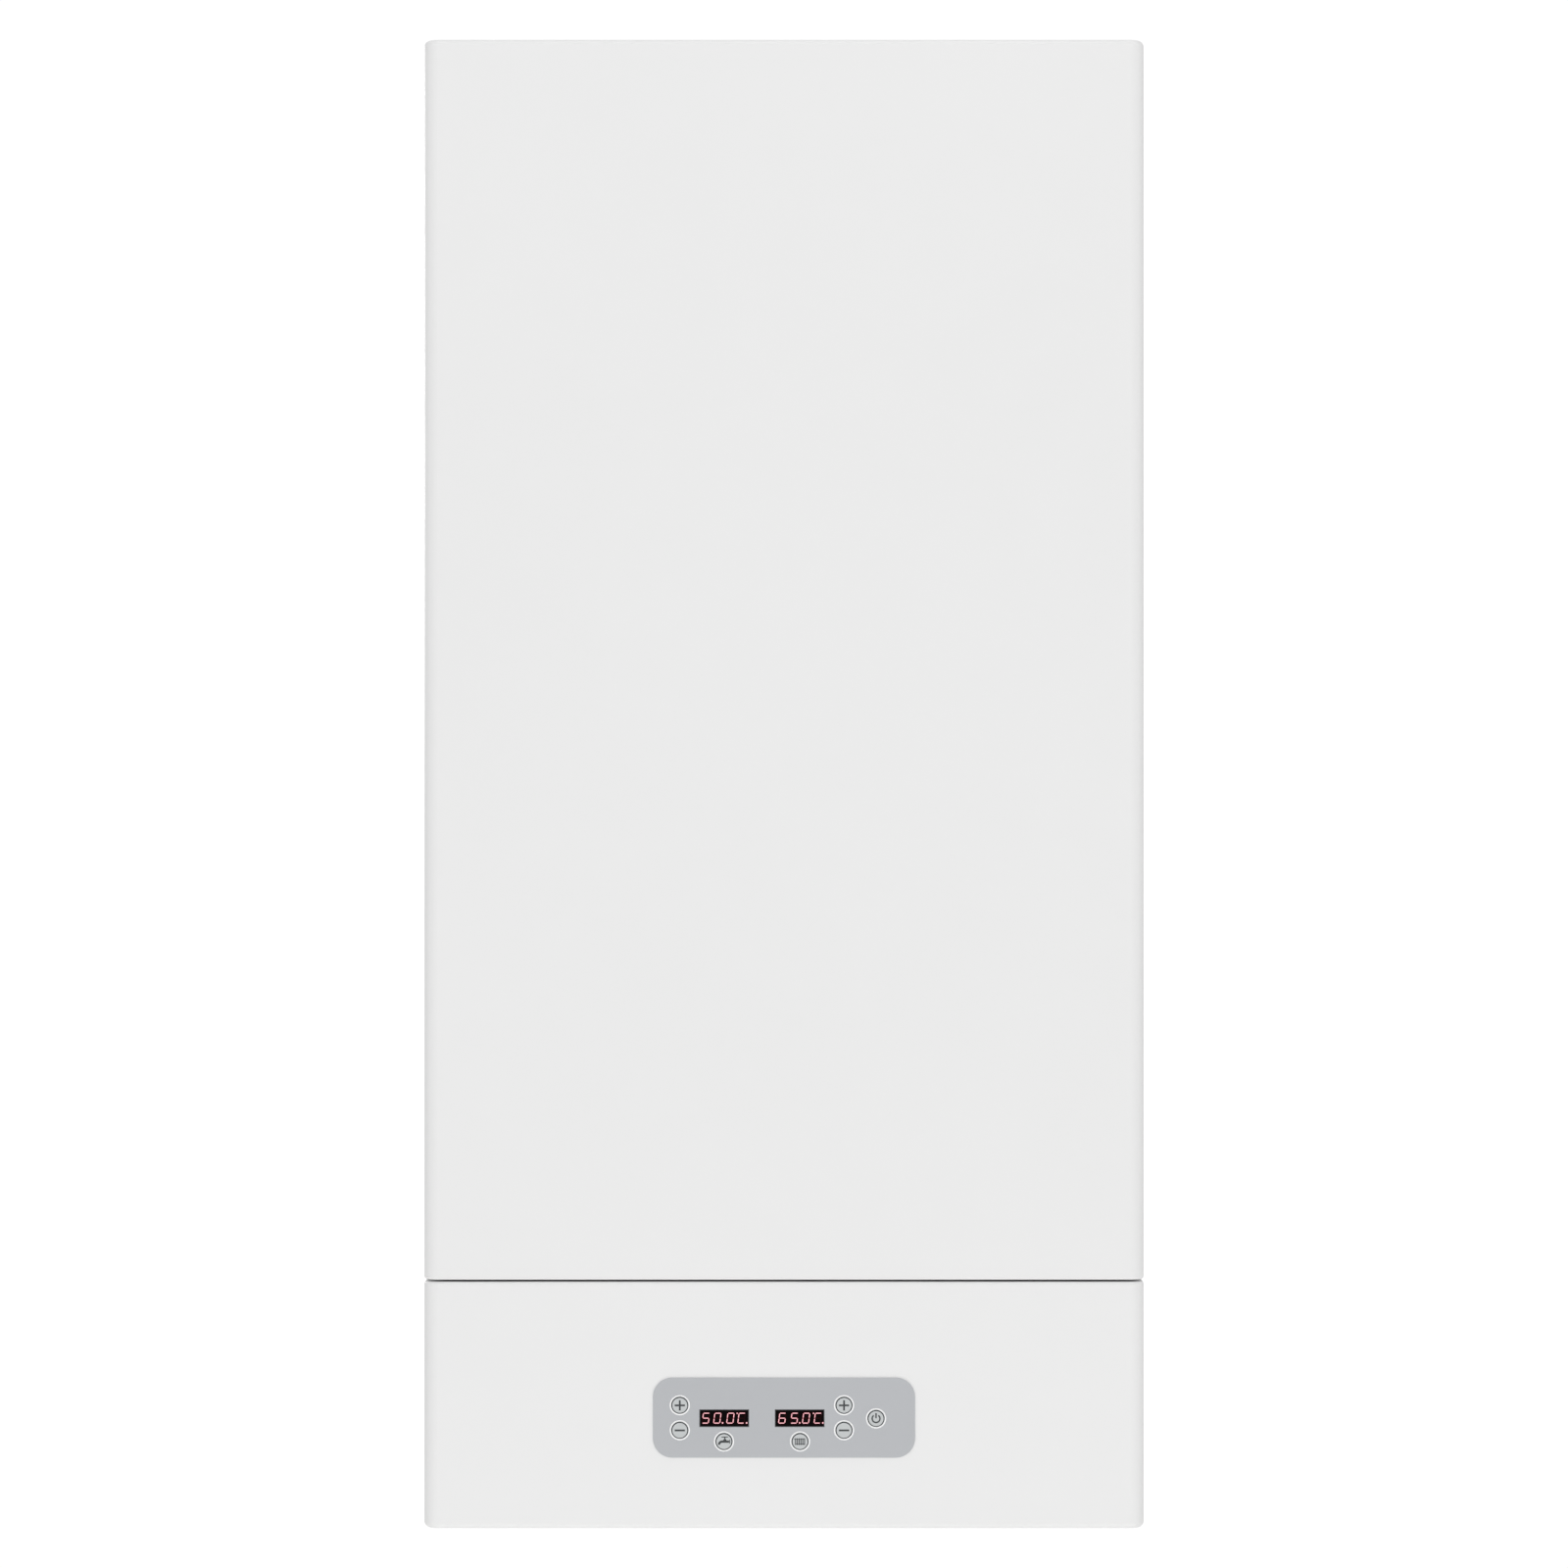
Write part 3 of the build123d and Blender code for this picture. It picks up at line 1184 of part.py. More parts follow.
def pump_motor():
    """Finned can with the terminal box at its front."""
    x = STUB_X_RETURN
    form = rod_y(x, PUMP_Z, MOTOR_FRONT, PUMP_FRONT, MOTOR_R)
    form -= rod_y(x, PUMP_Z, MOTOR_FRONT + MOTOR_END, PUMP_FRONT + 1, MOTOR_BORE)
    form -= rod_y(
        x, PUMP_Z, MOTOR_FRONT + MOTOR_END / 2, MOTOR_FRONT + MOTOR_END + 1, SHAFT_R + SHAFT_PLAY,
    )
    for i in range(FIN_COUNT):
        turn = 360 * i / FIN_COUNT
        groove = block(
            MOTOR_R - FIN_DEPTH, MOTOR_R + 1, MOTOR_FRONT + MOTOR_END, PUMP_FRONT - MOTOR_END,
            -FIN_W / 2, FIN_W / 2,
        )
        form -= Pos(x, 0, PUMP_Z) * Rot(0, turn, 0) * groove
    form += soft_block(
        x - PUMP_BOX_W / 2, x + PUMP_BOX_W / 2, PUMP_BOX_FRONT, MOTOR_FRONT,
        PUMP_Z - PUMP_BOX_H / 2, PUMP_Z + PUMP_BOX_H / 2, Axis.Y, PUMP_BOX_R,
    )
    form -= rod_y(
        x, PUMP_Z - DIAL_DROP, PUMP_BOX_FRONT - 1, PUMP_BOX_FRONT + DIAL_STEM_L + 1,
        DIAL_STEM_R + SHAFT_PLAY,
    )
    return form


def pump_rotor():
    """Rotor drum, shaft and impeller in one turning piece."""
    x = STUB_X_RETURN
    rear = PUMP_REAR - PUMP_WALL / 2 - 0.5
    form = rod_y(x, PUMP_Z, MOTOR_FRONT + MOTOR_END / 2 + 0.5, rear, SHAFT_R)
    form += rod_y(
        x, PUMP_Z, MOTOR_FRONT + MOTOR_END + ROTOR_GAP, PUMP_FRONT - ROTOR_GAP,
        MOTOR_BORE - ROTOR_GAP,
    )
    y1 = PUMP_REAR - PUMP_WALL - 2 * ROTOR_GAP
    y0 = y1 - IMPELLER_T
    form += rod_y(x, PUMP_Z, y0, y0 + 2, IMPELLER_R)
    form += rod_y(x, PUMP_Z, y0, y1, IMPELLER_HUB)
    for i in range(BLADE_COUNT):
        blade = block(IMPELLER_HUB - 1, IMPELLER_R - 0.5, y0 + 1, y1, -BLADE_T / 2, BLADE_T / 2)
        form += Pos(x, 0, PUMP_Z) * Rot(0, 360 * i / BLADE_COUNT, 0) * blade
    return form


def pump_speed_knob():
    x = STUB_X_RETURN
    z = PUMP_Z - DIAL_DROP
    rear = PUMP_BOX_FRONT - DIAL_GAP
    form = rod_y(x, z, rear - DIAL_T, rear, DIAL_R)
    form = fillet(form.edges().sort_by(Axis.Y)[0], 1.2)
    form += rod_y(x, z, rear - 1, PUMP_BOX_FRONT + DIAL_STEM_L, DIAL_STEM_R)
    # pointer slot across the face
    slot = block(x - 1, x + 1, rear - DIAL_T - 1, rear - DIAL_T + 1.2, z, z + DIAL_R + 1)
    return form - slot


# ================================================================ diverter valve
def diverter_body():
    """Three-way body above the flow stub, with its chamber from front to back."""
    x = STUB_X_FLOW
    rear = STUB_Y + DIV_BACK
    form = rod_y(x, DIV_Z, DIV_FACE, rear, DIV_R)
    form += rod_z(x, STUB_Y, DIV_Z - DIV_LOW, DIV_Z + DIV_UP, DIV_TUBE_R)
    form += rod_x(STUB_Y, BRANCH_Z, x, x + TEE_SIDE + DIV_TUBE_R / 2, DIV_TUBE_R - 3)
    form -= rod_y(x, DIV_Z, DIV_FACE + DIV_NECK, rear - DIV_NECK, DIV_CAVITY_R)
    form -= rod_z(x, STUB_Y, DIV_Z - DIV_LOW - 1, DIV_Z + DIV_UP + 1, PIPE_R - PIPE_WALL)
    form -= rod_x(
        STUB_Y, BRANCH_Z, x, x + TEE_SIDE + DIV_TUBE_R / 2 + 1, SMALL_R - PIPE_WALL,
    )
    form -= rod_y(x, DIV_Z, DIV_FACE - 1, DIV_FACE + DIV_NECK + 1, SPINDLE_R + SPINDLE_PLAY)
    return form


def diverter_actuator():
    """Motor box on the front of the diverter."""
    x = STUB_X_FLOW
    form = soft_block(
        x - ACT_W / 2, x + ACT_W / 2, DIV_FACE - ACT_D, DIV_FACE,
        DIV_Z - ACT_H / 2, DIV_Z + ACT_H / 2, Axis.Y, ACT_R,
    )
    form = fillet(form.edges().group_by(Axis.Y)[0], 2.0)
    return form - rod_y(x, DIV_Z, DIV_FACE - SPINDLE_OUT - 2, DIV_FACE + 1, ACT_BORE)


def diverter_spindle():
    x = STUB_X_FLOW
    y0 = DIV_FACE - SPINDLE_OUT
    seal = DIV_FACE + SEAL_SET
    form = rod_y(x, DIV_Z, y0, y0 + SPINDLE_L, SPINDLE_R)
    form += round_edges(rod_y(x, DIV_Z, seal, seal + SEAL_T, SEAL_R), 1.0)
    return form


# ================================================================ plate heat exchanger
EX_PORTS = [(side, z) for side in (STUB_X_HOT, STUB_X_COLD) for z in (EX_HIGH_Z, EX_LOW_Z)]


def plate_exchanger():
    """Brazed stack of plates with four ports on its front."""
    half = EX_L / 2
    high = EX_H / 2
    form = soft_block(-half, half, EX_FRONT, EX_REAR, EX_Z - high, EX_Z + high, Axis.Y, EX_EDGE)
    deep = EX_GROOVE_DEEP
    count = int((EX_D - 2 * EX_END) / EX_PITCH)
    for i in range(count):
        y0 = EX_FRONT + EX_END + i * EX_PITCH
        outer = block(-half - 1, half + 1, y0, y0 + EX_GROOVE, EX_Z - high - 1, EX_Z + high + 1)
        core = soft_block(
            -half + deep, half - deep, y0 - 1, y0 + EX_GROOVE + 1,
            EX_Z - high + deep, EX_Z + high - deep, Axis.Y, EX_EDGE - deep,
        )
        form -= outer - core
    for x, z in EX_PORTS:
        form += rod_y(x, z, EX_PORT_Y, EX_FRONT + 1, EX_PORT_R)
        form -= rod_y(x, z, EX_PORT_Y - 1, EX_FRONT + EX_PORT_DEEP, SMALL_R - PIPE_WALL)
    return form


# ================================================================ safety valve
SAFETY_FACE = STUB_Y - SAFETY_FRONT
BONNET_FACE = SAFETY_FACE - BONNET_L


def safety_valve():
    x = STUB_X_DRAIN
    form = rod_y(x, SAFETY_Z, SAFETY_FACE, STUB_Y + SAFETY_REAR, SAFETY_R)
    form += rod_x(STUB_Y, SAFETY_Z, x, x + SAFETY_ARM, SAFETY_ARM_R)
    form += rod_z(x, STUB_Y, SAFETY_Z - SAFETY_DOWN, SAFETY_Z, SAFETY_ARM_R)
    form += rod_y(x, SAFETY_Z, BONNET_FACE, SAFETY_FACE + 1, BONNET_R)
    form -= rod_x(STUB_Y, SAFETY_Z, x, x + SAFETY_ARM + 1, SMALL_R - PIPE_WALL)
    form -= rod_z(x, STUB_Y, SAFETY_Z - SAFETY_DOWN - 1, SAFETY_Z, SMALL_R - PIPE_WALL)
    stem = SAFETY_STEM_R + SHAFT_PLAY
    return form - rod_y(x, SAFETY_Z, BONNET_FACE - 1, BONNET_FACE + SAFETY_STEM_L + 1, stem)


def safety_knob():
    x = STUB_X_DRAIN
    rear = BONNET_FACE - SAFETY_KNOB_GAP
    front = rear - SAFETY_KNOB_L
    form = rod_y(x, SAFETY_Z, front, rear, SAFETY_KNOB_R)
    form = fillet(form.edges().sort_by(Axis.Y)[0], 2.0)
    for dx, dz in around(KNOB_GRIPS, SAFETY_KNOB_R + 0.8):
        form -= rod_y(x + dx, SAFETY_Z + dz, front - 1, rear + 1, KNOB_GRIP_R)
    return form + rod_y(x, SAFETY_Z, rear - 1, BONNET_FACE + SAFETY_STEM_L, SAFETY_STEM_R)


# ================================================================ flow sensor
SENSOR_TOP = SENSOR_LOW + SENSOR_L
SENSOR_Z = (SENSOR_LOW + SENSOR_TOP) / 2


def flow_sensor():
    """Housing on the cold pipe with the turbine's two bearings."""
    x = STUB_X_COLD
    form = rod_z(x, STUB_Y, SENSOR_LOW, SENSOR_TOP, SENSOR_R)
    form += block(
        x - SENSOR_BOX_W / 2, x + SENSOR_BOX_W / 2, STUB_Y - SENSOR_R - SENSOR_BOX_D, STUB_Y - SENSOR_BORE - 1,
        SENSOR_Z - SENSOR_BOX_H / 2, SENSOR_Z + SENSOR_BOX_H / 2,
    )
    form -= rod_z(x, STUB_Y, SENSOR_LOW - 1, SENSOR_TOP + 1, SENSOR_BORE)
    for end in (-1, 1):
        z = SENSOR_Z + end * (AXLE_L / 2 - SPIDER_T / 2)
        hub = rod_z(x, STUB_Y, z - SPIDER_T / 2, z + SPIDER_T / 2, SPIDER_HUB)
        reach = SENSOR_BORE + 0.5
        arm = SPIDER_ARM / 2
        hub += block(x - reach, x + reach, STUB_Y - arm, STUB_Y + arm, z - SPIDER_T / 2, z + SPIDER_T / 2)
        hub += block(x - arm, x + arm, STUB_Y - reach, STUB_Y + reach, z - SPIDER_T / 2, z + SPIDER_T / 2)
        form += hub
    return form - rod_z(x, STUB_Y, SENSOR_Z - AXLE_L, SENSOR_Z + AXLE_L, AXLE_R + AXLE_PLAY)


def flow_turbine():
    x = STUB_X_COLD
    form = rod_z(x, STUB_Y, SENSOR_Z - AXLE_L / 2, SENSOR_Z + AXLE_L / 2, AXLE_R)
    form += rod_z(x, STUB_Y, SENSOR_Z - TURBINE_L / 2, SENSOR_Z + TURBINE_L / 2, TURBINE_HUB)
    for i in range(TURBINE_BLADES):
        blade = block(TURBINE_HUB - 1, TURBINE_R, -0.6, 0.6, -TURBINE_L / 2, TURBINE_L / 2)
        form += Pos(x, STUB_Y, SENSOR_Z) * Rot(0, 0, 45 + 360 * i / TURBINE_BLADES) * blade
    return form


# ================================================================ pipes
def straight_z(x, z0, z1, radius, wall):
    tube = rod_z(x, STUB_Y, z0, z1, radius)
    return tube - rod_z(x, STUB_Y, z0 - 1, z1 + 1, radius - wall)


def primary_pipes():
    """Heating circuit: vessel, diverter, exchanger, pump and the two heating stubs."""
    side = STUB_X_FLOW + TEE_SIDE + DIV_TUBE_R / 2
    hot = [
        (NOZZLE_X, VESSEL_Y, NOZZLE_Z), (HOT_X, VESSEL_Y, NOZZLE_Z), (HOT_X, VESSEL_Y, CROSS_Z),
        (STUB_X_FLOW, STUB_Y, CROSS_Z), (STUB_X_FLOW, STUB_Y, DIV_Z + DIV_UP),
    ]
    feed = [
        (STUB_X_RETURN, STUB_Y, PUMP_OUT_Z), (STUB_X_RETURN, STUB_Y, CROSS_Z),
        (VESSEL_X, VESSEL_Y, CROSS_Z), (VESSEL_X, VESSEL_Y, BOTTOM_NOZZLE),
    ]
    to_exchanger = [
        (side, STUB_Y, BRANCH_Z), (STUB_X_HOT, STUB_Y, BRANCH_Z),
        (STUB_X_HOT, EX_PORT_Y, BRANCH_Z),
    ]
    from_exchanger = [
        (STUB_X_COLD, EX_PORT_Y, BRANCH_Z), (STUB_X_COLD, STUB_Y, BRANCH_Z),
        (STUB_X_RETURN - TEE_SIDE, STUB_Y, BRANCH_Z),
    ]
    return group([
        pipe(hot, PIPE_BEND, PIPE_R, PIPE_WALL),
        pipe(feed, CROSS_BEND, PIPE_R, PIPE_WALL),
        pipe(to_exchanger, SMALL_BEND, SMALL_R, PIPE_WALL),
        pipe(from_exchanger, SMALL_BEND, SMALL_R, PIPE_WALL),
        straight_z(STUB_X_FLOW, STUB_TOP, DIV_Z - DIV_LOW, PIPE_R, PIPE_WALL),
        straight_z(STUB_X_RETURN, STUB_TOP, BRANCH_Z - TEE_LOW, PIPE_R, PIPE_WALL),
    ])


def water_pipes():
    """Tap water to and from the exchanger, and the safety valve's two pipes."""
    hot = [
        (STUB_X_HOT, EX_PORT_Y, EX_LOW_Z), (STUB_X_HOT, STUB_Y, EX_LOW_Z),
        (STUB_X_HOT, STUB_Y, STUB_TOP),
    ]
    cold = [
        (STUB_X_COLD, EX_PORT_Y, EX_LOW_Z), (STUB_X_COLD, STUB_Y, EX_LOW_Z),
        (STUB_X_COLD, STUB_Y, SENSOR_TOP),
    ]
    x0 = STUB_X_DRAIN + SAFETY_ARM
    x1 = STUB_X_RETURN - PUMP_R - SAFETY_PORT_OUT
    branch = rod_x(STUB_Y, SAFETY_Z, x0, x1, SMALL_R)
    branch -= rod_x(STUB_Y, SAFETY_Z, x0 - 1, x1 + 1, SMALL_R - PIPE_WALL)
    return group([
        pipe(hot, SMALL_BEND, SMALL_R, PIPE_WALL),
        pipe(cold, SMALL_BEND, SMALL_R, PIPE_WALL),
        branch,
        straight_z(STUB_X_DRAIN, STUB_TOP, SAFETY_Z - SAFETY_DOWN, SMALL_R, PIPE_WALL),
    ])


# ================================================================ electrics
CON_X0 = ELEC_LEFT + CON_X_IN
CON_X = CON_X0 + CON_W / 2
CON_Z0 = ELEC_Z1 - CON_TOP_IN - CON_H
CON_Z = CON_Z0 + CON_H / 2
CON_REAR = ELEC_FACE - RAIL_D
CON_FRONT = CON_REAR - CON_D
MCB_X0 = ELEC_LEFT + MCB_MARGIN
MCB_X1 = ELEC_RIGHT - MCB_MARGIN
MCB_Z0 = BOTTOM + MCB_LOW
MCB_Z1 = CON_Z0 - MCB_CON_GAP
MCB_REAR = ELEC_FACE - MCB_POST
MCB_FACE = MCB_REAR - BOARD_T
MCB_POSTS = [
    (x, z)
    for x in (MCB_X0 + MCB_POST_IN, MCB_X1 - MCB_POST_IN)
    for z in (MCB_Z0 + MCB_POST_IN, MCB_Z1 - MCB_POST_IN)
]
TERM_X = (ELEC_LEFT + ELEC_RIGHT) / 2
STAT_X = ELEC_LEFT + STAT_X_IN
STAT_Z = BOTTOM + STAT_LOW
STAT_FACE = ELEC_FACE - STAT_D - STAT_NECK_L


def electrics_plate():
    """Folded plate in front of the expansion vessel, with the contactor's rail."""
    form = block(ELEC_LEFT, ELEC_RIGHT, ELEC_FACE, ELEC_Y, ELEC_Z0, ELEC_Z1)
    form += block(ELEC_LEFT, ELEC_LEFT + ELEC_T, ELEC_FACE, PAN_FACE, ELEC_Z0, ELEC_Z1)
    form += block(ELEC_LEFT, ELEC_LEFT + ELEC_LIP, PAN_FACE - ELEC_T, PAN_FACE, ELEC_Z0, ELEC_Z1)
    form += block(ELEC_RIGHT - ELEC_T, ELEC_RIGHT, ELEC_FACE, ELEC_Y + ELEC_LIP, ELEC_Z0, ELEC_Z1)
    form += block(
        ELEC_LEFT + MCB_MARGIN, ELEC_RIGHT - MCB_MARGIN, CON_REAR, ELEC_FACE,
        CON_Z - RAIL_H / 2, CON_Z + RAIL_H / 2,
    )
    for x, z in MCB_POSTS:
        form += rod_y(x, z, MCB_REAR, ELEC_FACE, MCB_POST_R)
    return form


def main_board():
    """Power board with relays, transformer, capacitors and a row of plugs."""
    form = block(MCB_X0, MCB_X1, MCB_FACE, MCB_REAR, MCB_Z0, MCB_Z1)
    middle = (MCB_X0 + MCB_X1) / 2
    for i in range(RELAY_COUNT):
        x = middle + (i - (RELAY_COUNT - 1) / 2) * RELAY_PITCH
        z1 = MCB_Z1 - BOARD_EDGE
        form += block(
            x - RELAY_W / 2, x + RELAY_W / 2, MCB_FACE - RELAY_D, MCB_FACE, z1 - RELAY_H, z1,
        )
    for i in range(PLUG_COUNT):
        x = middle + (i - (PLUG_COUNT - 1) / 2) * PLUG_PITCH
        z0 = MCB_Z0 + BOARD_EDGE
        form += block(
            x - PLUG_W / 2, x + PLUG_W / 2, MCB_FACE - PLUG_D, MCB_FACE, z0, z0 + PLUG_H,
        )
    core_z = (MCB_Z0 + MCB_Z1) / 2
    form += block(
        middle - CORE_W, middle, MCB_FACE - CORE_D, MCB_FACE, core_z - CORE_H / 2, core_z + CORE_H / 2,
    )
    for i in range(2):
        x = middle + CAN_PITCH * (i + 0.9)
        form += rod_y(x, core_z, MCB_FACE - CAN_L, MCB_FACE, CAN_R)
    return form


def contactor():
    """Three-pole contactor on its rail."""
    form = soft_block(CON_X0, CON_X0 + CON_W, CON_FRONT, CON_REAR, CON_Z0, CON_Z0 + CON_H, Axis.Y, 2.0)
    deep = ARM_D - ARM_OUT + ARM_TRAVEL + ARM_GAP
    form -= block(
        CON_X - ARM_W / 2 - ARM_GAP, CON_X + ARM_W / 2 + ARM_GAP, CON_FRONT - 1, CON_FRONT + deep,
        CON_Z - ARM_H / 2 - ARM_GAP, CON_Z + ARM_H / 2 + ARM_GAP,
    )
    for i in range(ROD_COUNT):
        x = CON_X + (i - (ROD_COUNT - 1) / 2) * CON_PITCH
        for end in (-1, 1):
            z = CON_Z + end * (CON_H / 2 - 2.2 * CON_TERM_R)
            form -= rod_y(x, z, CON_FRONT - 1, CON_FRONT + CON_TERM_R, CON_TERM_R)
    return form


def contactor_armature():
    front = CON_FRONT - ARM_OUT
    return block(
        CON_X - ARM_W / 2, CON_X + ARM_W / 2, front, front + ARM_D,
        CON_Z - ARM_H / 2, CON_Z + ARM_H / 2,
    )


def terminal_block():
    """Row of clamps for the mains connection."""
    z0 = BOTTOM + TERM_LOW
    front = ELEC_FACE - TERM_D
    form = block(TERM_X - TERM_W / 2, TERM_X + TERM_W / 2, front, ELEC_FACE, z0, z0 + TERM_H)
    pitch = TERM_W / TERM_WAYS
    for i in range(TERM_WAYS):
        x = TERM_X + (i - (TERM_WAYS - 1) / 2) * pitch
        form -= rod_y(x, z0 + TERM_H / 2, front - 1, front + TERM_D / 3, pitch / 4)
        form -= rod_z(x, front + TERM_D / 2, z0 - 1, z0 + TERM_H / 3, pitch / 4)
    return form


def overheat_thermostat():
    form = round_edges(rod_y(STAT_X, STAT_Z, ELEC_FACE - STAT_D, ELEC_FACE, STAT_R), 1.0)
    form += rod_y(STAT_X, STAT_Z, STAT_FACE, ELEC_FACE - STAT_D + 1, STAT_NECK_R)
    depth = STAT_FACE + RESET_L - RESET_OUT + RESET_TRAVEL + 1
    return form - rod_y(STAT_X, STAT_Z, STAT_FACE - 1, depth, RESET_R + RESET_PLAY)


def thermostat_reset():
    front = STAT_FACE - RESET_OUT
    form = rod_y(STAT_X, STAT_Z, front, front + RESET_L, RESET_R)
    return fillet(form.edges().sort_by(Axis.Y)[0], 0.8)


def heater_leads():
    """One lead from each heating rod to the contactor, each at its own height."""
    leads = []
    y1 = CON_FRONT + LEAD_SET
    for i, y0 in enumerate(ROD_Y):
        x0 = VESSEL_X - ROD_LEG
        x1 = CON_X + ((ROD_COUNT - 1) / 2 - i) * CON_PITCH
        z = TOP - LEAD_DROP + i * LEAD_STEP
        route = [(x0, y0, ROD_TOP), (x0, y0, z), (x1, y1, z), (x1, y1, CON_Z0 + CON_H)]
        leads.append(cable(route, LEAD_BEND, LEAD_R))
    return group(leads)


# ================================================================ write every piece
keep("front_cover", front_cover())
keep("cover_clips", cover_clips())
keep("right_side_panel", right_side_panel())
keep("left_side_panel", mirror(right_side_panel(), about=Plane.YZ))
keep("top_panel", top_panel())
keep("bottom_plate", bottom_plate())
keep("casing_screws", casing_screws())
keep("wall_bracket", wall_bracket())
keep("back_frame", back_frame())
keep("control_panel", control_panel())
keep("panel_hinges", panel_hinges())
keep("hinge_pins", hinge_pins())
keep("keypad_overlay", keypad_overlay())
for name, (x, height) in BUTTONS.items():
    keep(name, button(x, height))
keep("led_displays", led_displays())
keep("display_board", display_board())
keep("board_housing", board_housing())
keep("housing_screws", housing_screws())
keep("pipe_stubs", pipe_stubs())
keep("stub_locknuts", stub_locknuts())
keep("cable_glands", cable_glands())
keep("vessel_shelf", vessel_shelf())
keep("heating_vessel", heating_vessel())
keep("insulation_jacket", insulation_jacket())
keep("heater_flange", heater_flange())
keep("heating_elements", heating_elements())
keep("flange_bolts", flange_bolts())
keep("air_vent", air_vent())
keep("air_vent_cap", air_vent_cap())
keep("expansion_vessel", expansion_vessel())
keep("expansion_diaphragm", expansion_diaphragm())
keep("expansion_hose", expansion_hose())
keep("pump_volute", pump_volute())
keep("pump_motor", pump_motor())
keep("pump_rotor", pump_rotor())
keep("pump_speed_knob", pump_speed_knob())
keep("diverter_body", diverter_body())
keep("diverter_actuator", diverter_actuator())
keep("diverter_spindle", diverter_spindle())
keep("plate_exchanger", plate_exchanger())
keep("safety_valve", safety_valve())
keep("safety_knob", safety_knob())
keep("flow_sensor", flow_sensor())
keep("flow_turbine", flow_turbine())
keep("primary_pipes", primary_pipes())
keep("water_pipes", water_pipes())
keep("electrics_plate", electrics_plate())
keep("main_board", main_board())
keep("contactor", contactor())
keep("contactor_armature", contactor_armature())
keep("terminal_block", terminal_block())
keep("overheat_thermostat", overheat_thermostat())
keep("thermostat_reset", thermostat_reset())
keep("heater_leads", heater_leads())
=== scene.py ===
# %% [markdown]
# # Dressing a wall-hung electric boiler
#
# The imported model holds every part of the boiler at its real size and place.
# This lesson gives the parts their finishes, adds the printed and moulded
# details that solids don't carry, and lights the whole for a straight portrait.
# The scene is in metres. The front looks along -Y, and the wall is at Y = 0.

import math

import bmesh
import bpy
from mathutils import Matrix, Vector


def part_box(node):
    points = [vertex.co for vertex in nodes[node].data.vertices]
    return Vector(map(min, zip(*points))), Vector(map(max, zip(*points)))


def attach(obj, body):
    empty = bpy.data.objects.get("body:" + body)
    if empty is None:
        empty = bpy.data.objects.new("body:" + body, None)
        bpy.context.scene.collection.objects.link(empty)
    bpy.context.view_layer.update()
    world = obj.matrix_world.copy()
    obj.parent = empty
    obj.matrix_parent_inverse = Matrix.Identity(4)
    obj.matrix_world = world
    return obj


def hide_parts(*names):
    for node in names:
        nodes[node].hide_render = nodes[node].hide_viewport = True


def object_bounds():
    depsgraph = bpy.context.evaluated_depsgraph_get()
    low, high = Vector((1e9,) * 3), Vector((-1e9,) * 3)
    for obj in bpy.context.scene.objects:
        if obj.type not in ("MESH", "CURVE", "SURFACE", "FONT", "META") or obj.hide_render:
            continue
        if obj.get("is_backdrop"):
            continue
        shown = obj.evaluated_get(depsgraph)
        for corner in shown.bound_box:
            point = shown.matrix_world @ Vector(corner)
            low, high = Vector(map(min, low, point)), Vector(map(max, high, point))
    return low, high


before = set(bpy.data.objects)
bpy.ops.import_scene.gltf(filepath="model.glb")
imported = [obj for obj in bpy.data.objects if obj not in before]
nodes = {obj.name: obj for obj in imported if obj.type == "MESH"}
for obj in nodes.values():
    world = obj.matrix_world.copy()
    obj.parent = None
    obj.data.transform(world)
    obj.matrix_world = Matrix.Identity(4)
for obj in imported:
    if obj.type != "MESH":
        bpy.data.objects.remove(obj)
cad_low, cad_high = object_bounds()
MM = 0.001
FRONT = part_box("front_cover")[0].y
CASING_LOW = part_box("left_side_panel")[0].z
CASING_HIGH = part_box("left_side_panel")[1].z
print(len(nodes), "parts; casing from", round(CASING_LOW, 4), "to", round(CASING_HIGH, 4))

# %% [markdown]
# ## The camera
#
# The photograph looks straight at the front, level with the casing's middle, and
# shows neither the sides nor the pipe stubs below. A camera far away would show
# the stubs, because they hang under the casing near the wall. At 2.5 metres the
# casing's lower edge just hides them. The lens then follows from how much of the
# front plane fills the square picture.

# %% Camera
PICTURE_SIDE = 0.8912
STAND_OFF = 2.5
SENSOR_MM = 36
camera = bpy.data.cameras.new("portrait")
camera.sensor_width = SENSOR_MM
camera.lens = SENSOR_MM * STAND_OFF / PICTURE_SIDE
camera.clip_end = 60
eye = bpy.data.objects.new("portrait", camera)
eye.location = (0, FRONT - STAND_OFF, (CASING_LOW + CASING_HIGH) / 2)
eye.rotation_euler = (math.radians(90), 0, 0)
bpy.context.scene.collection.objects.link(eye)
bpy.context.scene.camera = eye
print("lens", round(camera.lens, 1), "mm")

# %% [markdown]
# ## The studio
#
# The casing is white on white, so its edges only show where they turn away from
# the light. A large soft box behind the camera lights the front, the boxes at the
# sides are weak, and the rounded edges darken by themselves. Seen directly, the
# surroundings are pure white, but they light the boiler less than that. The pale
# floor lies well below, where it catches light from above and throws some back.

